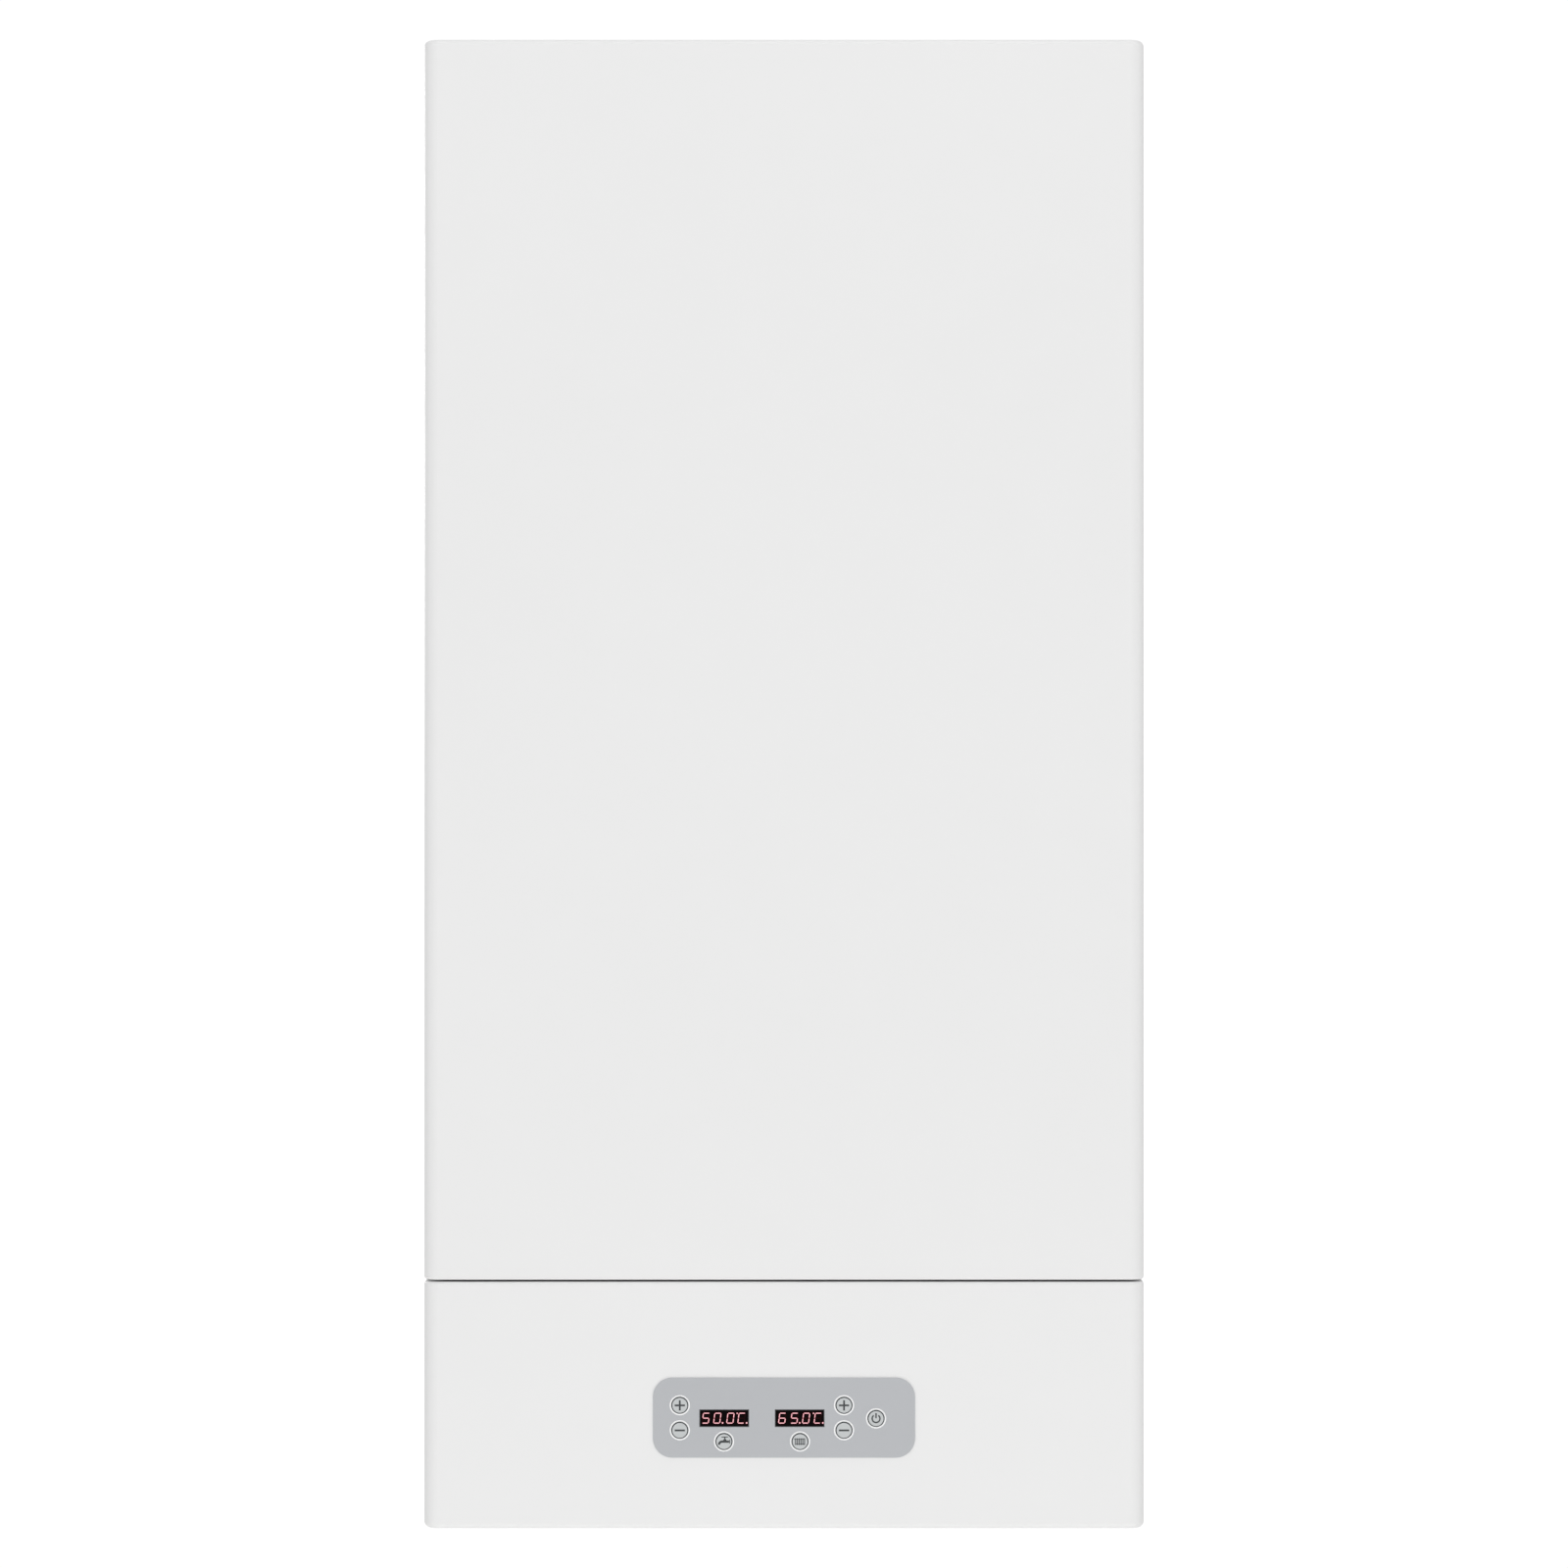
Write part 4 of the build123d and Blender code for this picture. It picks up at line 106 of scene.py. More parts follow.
# %% Surroundings
LIGHTING, SEEN = 0.60, 1.05
scene = bpy.context.scene
scene.view_settings.view_transform = "Standard"
scene.view_settings.look = "None"
world = bpy.data.worlds.new("studio")
world.use_nodes = True
scene.world = world
sky = world.node_tree
sky.nodes.clear()
ray = sky.nodes.new("ShaderNodeLightPath")
choose = sky.nodes.new("ShaderNodeMixShader")
sky_out = sky.nodes.new("ShaderNodeOutputWorld")
sky.links.new(ray.outputs["Is Camera Ray"], choose.inputs[0])
for socket, strength in ((1, LIGHTING), (2, SEEN)):
    around = sky.nodes.new("ShaderNodeBackground")
    around.inputs["Color"].default_value = (1, 1, 1, 1)
    around.inputs["Strength"].default_value = strength
    sky.links.new(around.outputs[0], choose.inputs[socket])
sky.links.new(choose.outputs[0], sky_out.inputs["Surface"])
print("surroundings light with", LIGHTING, "and are seen with", SEEN)

# %% Soft boxes
# place, width in metres and power in watts; each looks at the casing's middle
SOFT_BOXES = {
    "front_box": ((0.1, -4.6, -0.2), 4.0, 42),
    "right_box": ((3.6, -1.6, 0.2), 1.8, 4.5),
    "left_box": ((-3.6, -1.6, 0.2), 1.8, 2),
    "top_box": ((0.1, -0.9, 1.6), 1.2, 6.5),
    "low_box": ((0.0, -0.75, -2.0), 1.2, 4),
    "back_box": ((-2.0, 2.6, 0.3), 1.0, 15),
}
for name, (place, size, power) in SOFT_BOXES.items():
    lamp = bpy.data.lights.new(name, "AREA")
    lamp.shape = "SQUARE"
    lamp.size = size
    lamp.energy = power
    holder = bpy.data.objects.new(name, lamp)
    holder.location = place
    aim = Vector((0, 0, eye.location.z)) - Vector(place)
    holder.rotation_euler = aim.to_track_quat("-Z", "Y").to_euler()
    holder.visible_camera = False
    scene.collection.objects.link(holder)
print("soft boxes:", list(SOFT_BOXES))

# %% [markdown]
# ## A short hand for finishes
#
# Every finish below is one principled shader with a few textures feeding it.
# Building the nodes by hand each time would bury the idea of each finish, so this
# small class keeps one material under construction. All its patterns read the
# object's own coordinates, in metres, so a size is given as on the real surface.


# %% Finish class
def shade(red, green, blue):
    """A colour given as it looks on screen, 0 to 255, for a shader."""
    parts = [v / 255 for v in (red, green, blue)]
    return (*(v / 12.92 if v < 0.04045 else ((v + 0.055) / 1.055) ** 2.4 for v in parts), 1)


class Finish:
    """A principled material, with textures sized in metres."""

    def __init__(self, name, **fixed):
        self.material = bpy.data.materials.new(name)
        self.material.use_nodes = True
        self.tree = self.material.node_tree
        self.tree.nodes.clear()
        self.shader = self.node("ShaderNodeBsdfPrincipled")
        output = self.node("ShaderNodeOutputMaterial")
        self.tree.links.new(self.shader.outputs[0], output.inputs["Surface"])
        self.place = self.node("ShaderNodeTexCoord").outputs["Object"]
        for socket, value in fixed.items():
            self.feed(socket.replace("_", " "), value)

    def node(self, kind, **settings):
        made = self.tree.nodes.new(kind)
        for key, value in settings.items():
            setattr(made, key, value)
        return made

    def plug(self, value, socket):
        """Joins an output to a socket, or sets the socket to a plain value."""
        if isinstance(value, bpy.types.NodeSocket):
            self.tree.links.new(value, socket)
        else:
            socket.default_value = value

    def feed(self, name, value):
        self.plug(value, self.shader.inputs[name])

    def stretched(self, x, y, z, turn=(0, 0, 0)):
        """Coordinates stretched along an axis, for grain and brushing."""
        mapping = self.node("ShaderNodeMapping")
        self.plug(self.place, mapping.inputs["Vector"])
        mapping.inputs["Scale"].default_value = (1 / x, 1 / y, 1 / z)
        mapping.inputs["Rotation"].default_value = turn
        return mapping.outputs[0]

    def noise(self, size, detail=3.0, rough=0.5, place=None):
        """Cloudy pattern whose features have this size."""
        made = self.node("ShaderNodeTexNoise")
        self.plug(place or self.place, made.inputs["Vector"])
        made.inputs["Scale"].default_value = 1 / size
        made.inputs["Detail"].default_value = detail
        made.inputs["Roughness"].default_value = rough
        return made.outputs[0]

    def cells(self, size, feature="F1", output=0):
        """Cell pattern: output 0 is the distance and 1 a colour for each cell."""
        made = self.node("ShaderNodeTexVoronoi", feature=feature)
        self.plug(self.place, made.inputs["Vector"])
        made.inputs["Scale"].default_value = 1 / size
        return made.outputs[output]

    def channels(self, colour):
        """Red, green and blue of a colour as three values."""
        made = self.node("ShaderNodeSeparateColor")
        self.plug(colour, made.inputs[0])
        return made.outputs[0], made.outputs[1], made.outputs[2]

    def calc(self, operation, a, b):
        made = self.node("ShaderNodeMath", operation=operation)
        self.plug(a, made.inputs[0])
        self.plug(b, made.inputs[1])
        return made.outputs[0]

    def span(self, value, from_low, from_high, to_low, to_high):
        """Maps one range onto another and stays inside it."""
        made = self.node("ShaderNodeMapRange")
        for i, v in enumerate((value, from_low, from_high, to_low, to_high)):
            self.plug(v, made.inputs[i])
        return made.outputs[0]

    def mix(self, share, a, b):
        """Blends two colours."""
        made = self.node("ShaderNodeMix", data_type="RGBA")
        self.plug(share, made.inputs[0])
        self.plug(a, made.inputs[6])
        self.plug(b, made.inputs[7])
        return made.outputs[2]

    def axis(self, letter):
        """One coordinate of the surface point, in metres."""
        made = self.node("ShaderNodeSeparateXYZ")
        self.plug(self.place, made.inputs[0])
        return made.outputs["XYZ".index(letter)]

    def between(self, value, low, high):
        """1 between two limits and 0 outside."""
        above = self.calc("GREATER_THAN", value, low)
        return self.calc("MULTIPLY", above, self.calc("LESS_THAN", value, high))

    def bump(self, height, depth):
        """Raises the surface by a pattern of this depth; calls add up."""
        made = self.node("ShaderNodeBump")
        made.inputs["Distance"].default_value = depth
        self.plug(height, made.inputs["Height"])
        before = self.shader.inputs["Normal"].links
        if before:
            self.plug(before[0].from_socket, made.inputs["Normal"])
        self.feed("Normal", made.outputs[0])

    def surface(self, dark, light, cloud, grain=None, gloss=None, depth=None):
        """Clouds between two colours, and a grain for roughness and bump.

        Cloud and grain are what a noise takes; gloss is a pair of roughnesses.
        """
        self.feed("Base Color", self.mix(self.noise(*cloud), dark, light))
        pattern = self.noise(*grain) if grain else None
        if gloss:
            self.feed("Roughness", self.span(pattern, 0.3, 0.7, *gloss))
        if depth:
            self.bump(pattern, depth)
        return self


dressed = set()


def dress(finish, *names):
    """Gives parts of the model this finish."""
    dressed.update(names)
    for name in names:
        mesh = nodes[name].data
        mesh.materials.clear()
        mesh.materials.append(finish.material)
    print(finish.material.name, "on", ", ".join(names))


# %% [markdown]
# ## White powder coat
#
# The casing is folded steel sheet with a baked powder coat. The powder melts into a
# satin skin with a faint orange peel, about a millimetre from dimple to dimple, and
# the sheet itself is never quite flat. Two layers of bump do this, and the roughness
# drifts a little so that the sheen isn't the same everywhere.

# %% Powder coat
powder_coat = Finish("white_powder_coat", Specular_IOR_Level=0.45)
powder_coat.surface(
    shade(239, 239, 239), shade(241, 241, 241), cloud=(0.24, 2), grain=(0.035,), gloss=(0.37, 0.47),
)
powder_coat.bump(powder_coat.noise(0.0011, 2), 0.000014)
powder_coat.bump(powder_coat.noise(0.09, 1), 0.00012)
dress(
    powder_coat, "front_cover", "control_panel", "left_side_panel", "right_side_panel",
    "top_panel", "bottom_plate",
)

# %% [markdown]
# ## Galvanised and zinc-plated steel
#
# Sheet dipped in molten zinc freezes in flat crystals, the spangle. Each crystal
# reflects a little differently, so a cell pattern drives colour and roughness.
# Screws, pins and the bracket are plated instead: smooth, slightly yellow or blue
# from place to place, with fine rolling marks.

# %% Galvanised sheet
spangle = Finish("galvanised_sheet", Metallic=1.0)
crystals = spangle.mix(0.4, spangle.cells(0.011, output=1), spangle.cells(0.0045, output=1))
red, green, blue = spangle.channels(crystals)
spangle.feed("Base Color", spangle.mix(red, shade(158, 162, 166), shade(197, 199, 200)))
spangle.feed("Roughness", spangle.span(green, 0.1, 0.9, 0.32, 0.5))
spangle.bump(spangle.noise(0.004), 0.00003)
spangle.bump(blue, 0.00002)
dress(spangle, "back_frame", "vessel_shelf", "electrics_plate")

# %% Zinc plating
plating = Finish("zinc_plating", Metallic=1.0)
plating.surface(shade(180, 184, 190), shade(202, 200, 188), cloud=(0.012, 4))
rolled = plating.noise(1.0, 4, 0.6, plating.stretched(0.03, 0.0004, 0.0004))
plating.feed("Roughness", plating.span(rolled, 0.25, 0.75, 0.22, 0.42))
plating.bump(rolled, 0.000012)
dress(plating, "wall_bracket", "panel_hinges", "hinge_pins", "housing_screws", "flange_bolts")

# %% [markdown]
# ## Keypad film, push buttons and display windows
#
# The keypad is a printed polycarbonate film with a fine satin grain. The buttons are
# moulded in a paler grey. The displays sit behind tinted red windows, glossy and
# nearly black where no digit is lit.

# %% Keypad finishes
film = Finish("keypad_film", Specular_IOR_Level=0.4)
film.surface(
    shade(184, 186, 189), shade(188, 190, 194),
    cloud=(0.05, 2), grain=(0.00035, 2), gloss=(0.34, 0.42), depth=0.000004,
)
dress(film, "keypad_overlay")

cap_grey = Finish("button_moulding")
cap_grey.surface(
    shade(196, 200, 201), shade(200, 203, 204),
    cloud=(0.004,), grain=(0.0003, 2), gloss=(0.32, 0.42), depth=0.000005,
)
dress(cap_grey, *(name for name in nodes if name.startswith("button_")))

tint = Finish("tinted_window", Specular_IOR_Level=0.03)
tint.surface(
    (0.001, 0.0005, 0.0006, 1), (0.0025, 0.0008, 0.0012, 1),
    cloud=(0.003,), grain=(0.002,), gloss=(0.10, 0.18),
)
dress(tint, "led_displays")

# %% [markdown]
# ## Moulded plastics
#
# Housings and boxes come out of spark-eroded moulds, which leave a fine even grain.
# One function makes them all: only colour and gloss differ.


# %% Moulded plastic
def moulded(name, dark, light, rough):
    gloss = (rough - 0.06, rough + 0.06)
    return Finish(name).surface(dark, light, (0.02, 3), (0.0005, 2), gloss, 0.00001)


black_plastic = moulded("black_nylon", (0.014, 0.014, 0.015, 1), (0.026, 0.026, 0.028, 1), 0.48)
white_plastic = moulded("white_moulding", shade(205, 204, 199), shade(218, 217, 212), 0.42)
red_plastic = moulded("red_moulding", (0.42, 0.012, 0.010, 1), (0.52, 0.02, 0.014, 1), 0.32)
beige_plastic = moulded("contactor_moulding", shade(190, 190, 184), shade(204, 204, 198), 0.46)
dark_plastic = moulded("armature_moulding", (0.03, 0.03, 0.034, 1), (0.05, 0.05, 0.055, 1), 0.45)
dress(black_plastic, "cable_glands", "diverter_actuator", "board_housing", "air_vent_cap")
dress(white_plastic, "cover_clips", "terminal_block", "flow_sensor", "flow_turbine")
dress(red_plastic, "safety_knob", "thermostat_reset")
dress(beige_plastic, "contactor")
dress(dark_plastic, "contactor_armature", "pump_speed_knob")

# %% [markdown]
# ## Brass, copper and stainless steel
#
# Fittings are hot-stamped brass, dull on the raw skin and bright where turned. The
# pipes are drawn copper, which browns in clouds as soon as it has been handled. The
# vessel and the brazed exchanger are stainless sheet with a faint brushed grain.

# %% Brass
brass = Finish("stamped_brass", Metallic=1.0)
WORN = (0.014, 5, 0.6)
brass.surface((0.50, 0.345, 0.145, 1), (0.72, 0.54, 0.26, 1), WORN, WORN, gloss=(0.42, 0.26))
brass.bump(brass.noise(0.0012), 0.00002)
dress(brass, "stub_locknuts", "diverter_body", "safety_valve", "air_vent", "diverter_spindle")

# %% Copper
copper = Finish("drawn_copper", Metallic=1.0)
brown = copper.noise(0.03, 5, 0.62)
streak = copper.noise(1.0, place=copper.stretched(0.004, 0.004, 0.08))
tarnish = copper.calc("MULTIPLY", brown, copper.calc("ADD", streak, 0.35))
share = copper.span(tarnish, 0.25, 0.62, 0.0, 1.0)
copper.feed("Base Color", copper.mix(share, (0.78, 0.40, 0.25, 1), (0.42, 0.19, 0.11, 1)))
copper.feed("Roughness", copper.span(tarnish, 0.25, 0.62, 0.22, 0.42))
copper.bump(streak, 0.00001)
dress(copper, "primary_pipes", "water_pipes")

# %% Stainless steel
stainless = Finish("stainless_sheet", Metallic=1.0)
stainless.surface((0.50, 0.49, 0.47, 1), (0.62, 0.61, 0.595, 1), cloud=(0.05,))
brushed = stainless.noise(1.0, 5, 0.6, stainless.stretched(0.05, 0.05, 0.0004))
stainless.feed("Roughness", stainless.span(brushed, 0.3, 0.7, 0.24, 0.42))
stainless.bump(brushed, 0.00001)
dress(
    stainless, "heating_vessel", "heater_flange", "plate_exchanger", "heating_elements",
    "overheat_thermostat",
)

# %% [markdown]
# ## Foam jacket, enamel, rubber, cast iron and motor can
#
# The jacket is pressed from foam beads that stay visible as small cells. The
# expansion vessel is sprayed red and slightly wavy. The hose has a braid of steel
# wire, the pump body a rough cast skin under its dark coat, and its motor can is
# painted grey.

# %% Jacket and enamel
BEAD = 0.0042
foam = Finish("bead_foam")
seam = foam.cells(BEAD, feature="DISTANCE_TO_EDGE")
each_bead = foam.channels(foam.cells(BEAD, output=1))[0]
foam.feed("Base Color", foam.mix(each_bead, (0.035, 0.035, 0.037, 1), (0.075, 0.075, 0.079, 1)))
foam.feed("Roughness", foam.span(seam, 0.0, 0.2, 0.95, 0.72))
foam.bump(foam.span(seam, 0.0, 0.22, 0.0, 1.0), 0.0004)
dress(foam, "insulation_jacket")

enamel = Finish("red_enamel", Coat_Weight=0.35, Coat_Roughness=0.12)
enamel.surface(
    (0.36, 0.014, 0.010, 1), (0.48, 0.026, 0.016, 1),
    cloud=(0.06,), grain=(0.01,), gloss=(0.2, 0.34),
)
enamel.bump(enamel.noise(0.0025, 2), 0.00003)
dress(enamel, "expansion_vessel")

# %% Rubber, braid and leads
rubber = Finish("black_rubber", Roughness=0.6)
rubber.surface(
    (0.014, 0.014, 0.014, 1), (0.030, 0.030, 0.031, 1),
    cloud=(0.01,), grain=(0.0008,), depth=0.00003,
)
dress(rubber, "expansion_diaphragm")

WIRES_PER_METRE = 260
braid = Finish("steel_braid", Metallic=1.0)
strands = []
for lean in (1, -1):
    wires = braid.node("ShaderNodeTexWave", wave_type="BANDS", bands_direction="DIAGONAL")
    braid.plug(braid.stretched(lean, 1, 1), wires.inputs["Vector"])
    wires.inputs["Scale"].default_value = WIRES_PER_METRE
    strands.append(wires.outputs[1])
weave = braid.calc("MAXIMUM", *strands)
braid.feed("Base Color", braid.mix(weave, (0.20, 0.20, 0.21, 1), (0.62, 0.63, 0.64, 1)))
braid.feed("Roughness", braid.span(weave, 0.0, 1.0, 0.5, 0.26))
braid.bump(weave, 0.0003)
dress(braid, "expansion_hose")

silicone = Finish("silicone_lead", Roughness=0.5)
silicone.surface(
    (0.30, 0.035, 0.02, 1), (0.42, 0.055, 0.035, 1),
    cloud=(0.006,), grain=(0.0006,), depth=0.00002,
)
dress(silicone, "heater_leads")

# %% Cast iron and motor can
casting = Finish("coated_casting")
casting.surface(
    (0.022, 0.024, 0.027, 1), (0.05, 0.053, 0.057, 1),
    cloud=(0.012, 4), grain=(0.0018, 4, 0.6), gloss=(0.38, 0.6), depth=0.00016,
)
dress(casting, "pump_volute")

can = Finish("motor_paint")
can.surface(
    (0.13, 0.14, 0.15, 1), (0.19, 0.20, 0.215, 1),
    cloud=(0.015,), grain=(0.0009,), gloss=(0.34, 0.48), depth=0.00003,
)
dress(can, "pump_motor", "pump_rotor")

# %% [markdown]
# ## Circuit boards
#
# A board is green solder resist over copper tracks, and what stands on it has its
# own colours. The board, its relays and its plugs are one part of the model, so the
# finish picks a colour by where a point lies, and by whether it stands in front of
# the board. Tracks are thin straight lines, the joints of a brick pattern.

# %% Board finish
LANES = {
    "Scale": 1, "Brick Width": 0.011, "Row Height": 0.0023, "Mortar Size": 0.00028,
    "Mortar Smooth": 0.0, "Mortar": (0.022, 0.21, 0.085, 1),
    "Color1": (0.010, 0.105, 0.038, 1), "Color2": (0.012, 0.125, 0.046, 1),
}


def board(name, rules):
    """Green resist; each rule has ranges of y, z and x in metres and two colours."""
    made = Finish(name)
    lanes = made.node("ShaderNodeTexBrick")
    made.plug(made.stretched(1, 1, 1, turn=(math.radians(90), 0, 0)), lanes.inputs["Vector"])
    for socket, value in LANES.items():
        lanes.inputs[socket].default_value = value
    patches = made.span(made.noise(0.02), 0.45, 0.55, 0, 1)
    colour = made.mix(patches, lanes.outputs[0], (0.011, 0.115, 0.042, 1))
    spot = made.axis("Y"), made.axis("Z"), made.axis("X")
    for *ranges, dark, light in rules:
        within = [made.between(value, *limits) for value, limits in zip(spot, ranges)]
        inside = made.calc("MULTIPLY", made.calc("MULTIPLY", within[0], within[1]), within[2])
        colour = made.mix(inside, colour, made.mix(made.noise(0.004), dark, light))
    made.feed("Base Color", colour)
    made.feed("Roughness", made.span(made.noise(0.003), 0.3, 0.7, 0.3, 0.45))
    made.bump(lanes.outputs[1], 0.00004)
    return made


# %% Two boards
# anything that stands this far in front of a board's rear is a part on it
PROUD = 1.8 * MM
ANYWHERE = (-1, 1)
low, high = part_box("main_board")
on_board = (low.y - 1, high.y - PROUD)
middle, centre = (low.z + high.z) / 2, (low.x + high.x) / 2
row = (middle - 20 * MM, middle + 20 * MM)
relays, plugs = (high.z - 30 * MM, high.z), (low.z, low.z + 20 * MM)
main_board = board("power_board", [
    (on_board, relays, ANYWHERE, (0.012, 0.03, 0.09, 1), (0.02, 0.045, 0.13, 1)),
    (on_board, plugs, ANYWHERE, (0.60, 0.58, 0.50, 1), (0.70, 0.68, 0.60, 1)),
    (on_board, row, (-1, centre + MM), (0.42, 0.27, 0.03, 1), (0.55, 0.36, 0.05, 1)),
    (on_board, row, (centre + MM, 1), (0.012, 0.012, 0.016, 1), (0.022, 0.022, 0.03, 1)),
])
dress(main_board, "main_board")
low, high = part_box("display_board")
on_board = (low.y - 1, high.y - PROUD)
display_board = board("display_board", [
    (on_board, ANYWHERE, ANYWHERE, (0.02, 0.02, 0.022, 1), (0.04, 0.04, 0.045, 1)),
])
dress(display_board, "display_board")
print("display board's parts start at", round(on_board[1], 4))

# %% [markdown]
# ## Inks
#
# What is printed on the keypad is a thin layer of ink: white rings round the
# buttons, darker grey rings and signs on them. Ink is never perfectly even, so each
# ink varies a little in tone. The lit digits shine by themselves, with a red rim
# where the light spreads in the tinted window.

# %% Ink and light
SPECK = (0.0006, 3)


def ink(name, dark, light):
    return Finish(name).surface(dark, light, SPECK, SPECK, (0.35, 0.45), 0.000003)


def glow(name, inner, outer, strength):
    """Uneven emission: light from behind a window, and a weak painted glow on unlit segments."""
    made = Finish(name, Roughness=0.3, Specular_IOR_Level=0.03, Emission_Strength=strength)
    made.feed("Base Color", (0.004, 0.001, 0.001, 1))
    made.feed("Emission Color", made.mix(made.noise(0.0006, 2), inner, outer))
    return made


white_ink = ink("white_ink", shade(250, 251, 252), shade(254, 254, 254))
grey_ink = ink("grey_ink", shade(44, 48, 51), shade(54, 58, 61))
frame_ink = ink("window_rim", shade(74, 75, 78), shade(88, 89, 92))
lit = glow("lit_segment", shade(255, 200, 208), shade(255, 212, 218), 1.15)
halo = glow("lit_rim", shade(196, 52, 66), shade(180, 44, 56), 0.8)
# segments that are off get a faint painted red glow, though no light is behind them
unlit_painted_glow = glow("unlit_segment_painted_glow", shade(70, 12, 18), shade(56, 8, 12), 0.3)

# %% [markdown]
# ## Flat signs
#
# A printed sign is an outline with hardly any thickness. Outlines are drawn in
# millimetres from the sign's own middle, counterclockwise seen from the front, and
# become thin closed plates that lie on the face that carries them. A piece of more
# than one mesh is joined, since its parts never move against each other.


# %% Meshes and pieces
def plain_mesh(name, bm):
    mesh = bpy.data.meshes.new(name)
    bm.to_mesh(mesh)
    bm.free()
    return mesh


def closed_mesh(bm):
    """A mesh whose faces all point outwards."""
    bmesh.ops.recalc_face_normals(bm, faces=bm.faces)
    return plain_mesh("closed", bm)


def joined(name, meshes):
    bm = bmesh.new()
    for each in meshes:
        bm.from_mesh(each)
        bpy.data.meshes.remove(each)
    return plain_mesh(name, bm)


def new_piece(name, shape, finish, body, smooth=None):
    """Puts a mesh, or a list of them, into the scene and onto the body that carries it."""
    mesh = joined(name, shape) if isinstance(shape, list) else shape
    mesh.name = name
    piece = bpy.data.objects.new(name, mesh)
    scene.collection.objects.link(piece)
    mesh.materials.clear()
    mesh.materials.append(finish.material)
    if smooth is not None:
        mesh.shade_smooth()
        mesh.set_sharp_from_angle(angle=math.radians(smooth))
    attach(piece, body)
    return piece


# %% Plates from outlines
def wall(bm, a, b):
    """Faces between two rings of points."""
    for i in range(len(a)):
        bm.faces.new((a[i - 1], a[i], b[i], b[i - 1]))


def plates(outlines, x, z, face, thickness):
    """Thin plates in front of a face: outlines in mm round (x, z), both in metres."""
    bm = bmesh.new()
    for outline in outlines:
        spots = [(x + u * MM, z + v * MM) for u, v in outline]
        near = [bm.verts.new((u, face - thickness, v)) for u, v in spots]
        far = [bm.verts.new((u, face, v)) for u, v in spots]
        bm.faces.new(near)
        bm.faces.new(far[::-1])
        wall(bm, far, near)
    return closed_mesh(bm)


def bar(x0, x1, z0, z1):
    return [(x0, z0), (x1, z0), (x1, z1), (x0, z1)]


def cross(arm, half):
    """Twelve-cornered cross."""
    return [
        (-arm, -half), (-half, -half), (-half, -arm), (half, -arm), (half, -half), (arm, -half),
        (arm, half), (half, half), (half, arm), (-half, arm), (-half, half), (-arm, half),
    ]


def arc(x, z, radius, start, end, steps=16):
    """Points on a circle, angles in degrees."""
    turns = [math.radians(start + (end - start) * i / steps) for i in range(steps + 1)]
    return [(x + radius * math.cos(a), z + radius * math.sin(a)) for a in turns]


def band(inner, outer, start, end, steps=28):
    """Part of a flat ring."""
    return arc(0, 0, outer, start, end, steps) + arc(0, 0, inner, end, start, steps)


# %% [markdown]
# ## The seven signs
#
# Plus, minus, tap, radiator and power. Each is a handful of outlines. The radiator's
# columns repeat, so they come from a short loop instead of being listed.

# %% Outlines of the signs
ARM, HALF = 2.9, 0.5
minus_sign = [bar(-ARM, ARM, -HALF, HALF)]
plus_sign = [cross(ARM, HALF)]
TAP_GROWTH = 1.13
spout = arc(-0.9, -1.6, 1.05, 180, 90, 10) + [(2.6, -0.55), (2.6, 0.55), (1.35, 0.55)]
spout += arc(0.45, 0.45, 0.9, 0, 180, 12)[1:-1] + [(-0.45, 0.55)]
spout += arc(-0.9, -1.5, 2.1, 90, 180, 12)
tap = [spout, bar(2.72, 3.15, -0.95, 0.95), bar(0.15, 0.75, 1.2, 2.1), bar(-1.25, 2.05, 2.1, 2.55)]
tap_sign = [[(u * TAP_GROWTH, v * TAP_GROWTH) for u, v in outline] for outline in tap]
COLUMNS, PITCH, HALF_COLUMN, COLUMN_TOP, LINK, HALF_LINK = 6, 1.02, 0.27, 1.95, 1.35, 0.16
radiator_sign = []
for i in range(COLUMNS):
    left, right = [(i - (COLUMNS - 1) / 2) * PITCH + side * HALF_COLUMN for side in (-1, 1)]
    radiator_sign.append(bar(left, right, -COLUMN_TOP, COLUMN_TOP))
    for level in (-LINK, LINK) if i < COLUMNS - 1 else ():
        gap = PITCH - 2 * HALF_COLUMN
        radiator_sign.append(bar(right, right + gap, level - HALF_LINK, level + HALF_LINK))
radiator_sign.append(bar(-3.35, -2.87, 1.15, 1.55))
power_sign = [band(1.82, 2.62, 126, 414), bar(-0.4, 0.4, 0.2, 3.1)]
SIGNS = {
    "button_dhw_plus": plus_sign, "button_dhw_minus": minus_sign, "button_dhw_mode": tap_sign,
    "button_heating_mode": radiator_sign, "button_heating_plus": plus_sign,
    "button_heating_minus": minus_sign, "button_power": power_sign,
}


# %% Signs
def front_of(name):
    """Middle of the front of a part's box."""
    low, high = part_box(name)
    return (low.x + high.x) / 2, low.y, (low.z + high.z) / 2


PRINT = 0.04 * MM
for name, outlines in SIGNS.items():
    x, y, z = front_of(name)
    new_piece(name + "_sign", plates(outlines, x, z, y, PRINT), grey_ink, name)
print(len(SIGNS), "signs")

# %% [markdown]
# ## Turned shapes
#
# Rings, ferrules and caps are a profile turned round an axis, like wood on a lathe.
# The profile lists radius and distance along the axis, in millimetres. One that
# starts on the axis makes a solid; any other is closed to a ring. Some profiles are
# the same at both ends, so only half of them is listed. The dark ring on a button
# follows its bevelled rim, so it is turned instead of being a flat plate.


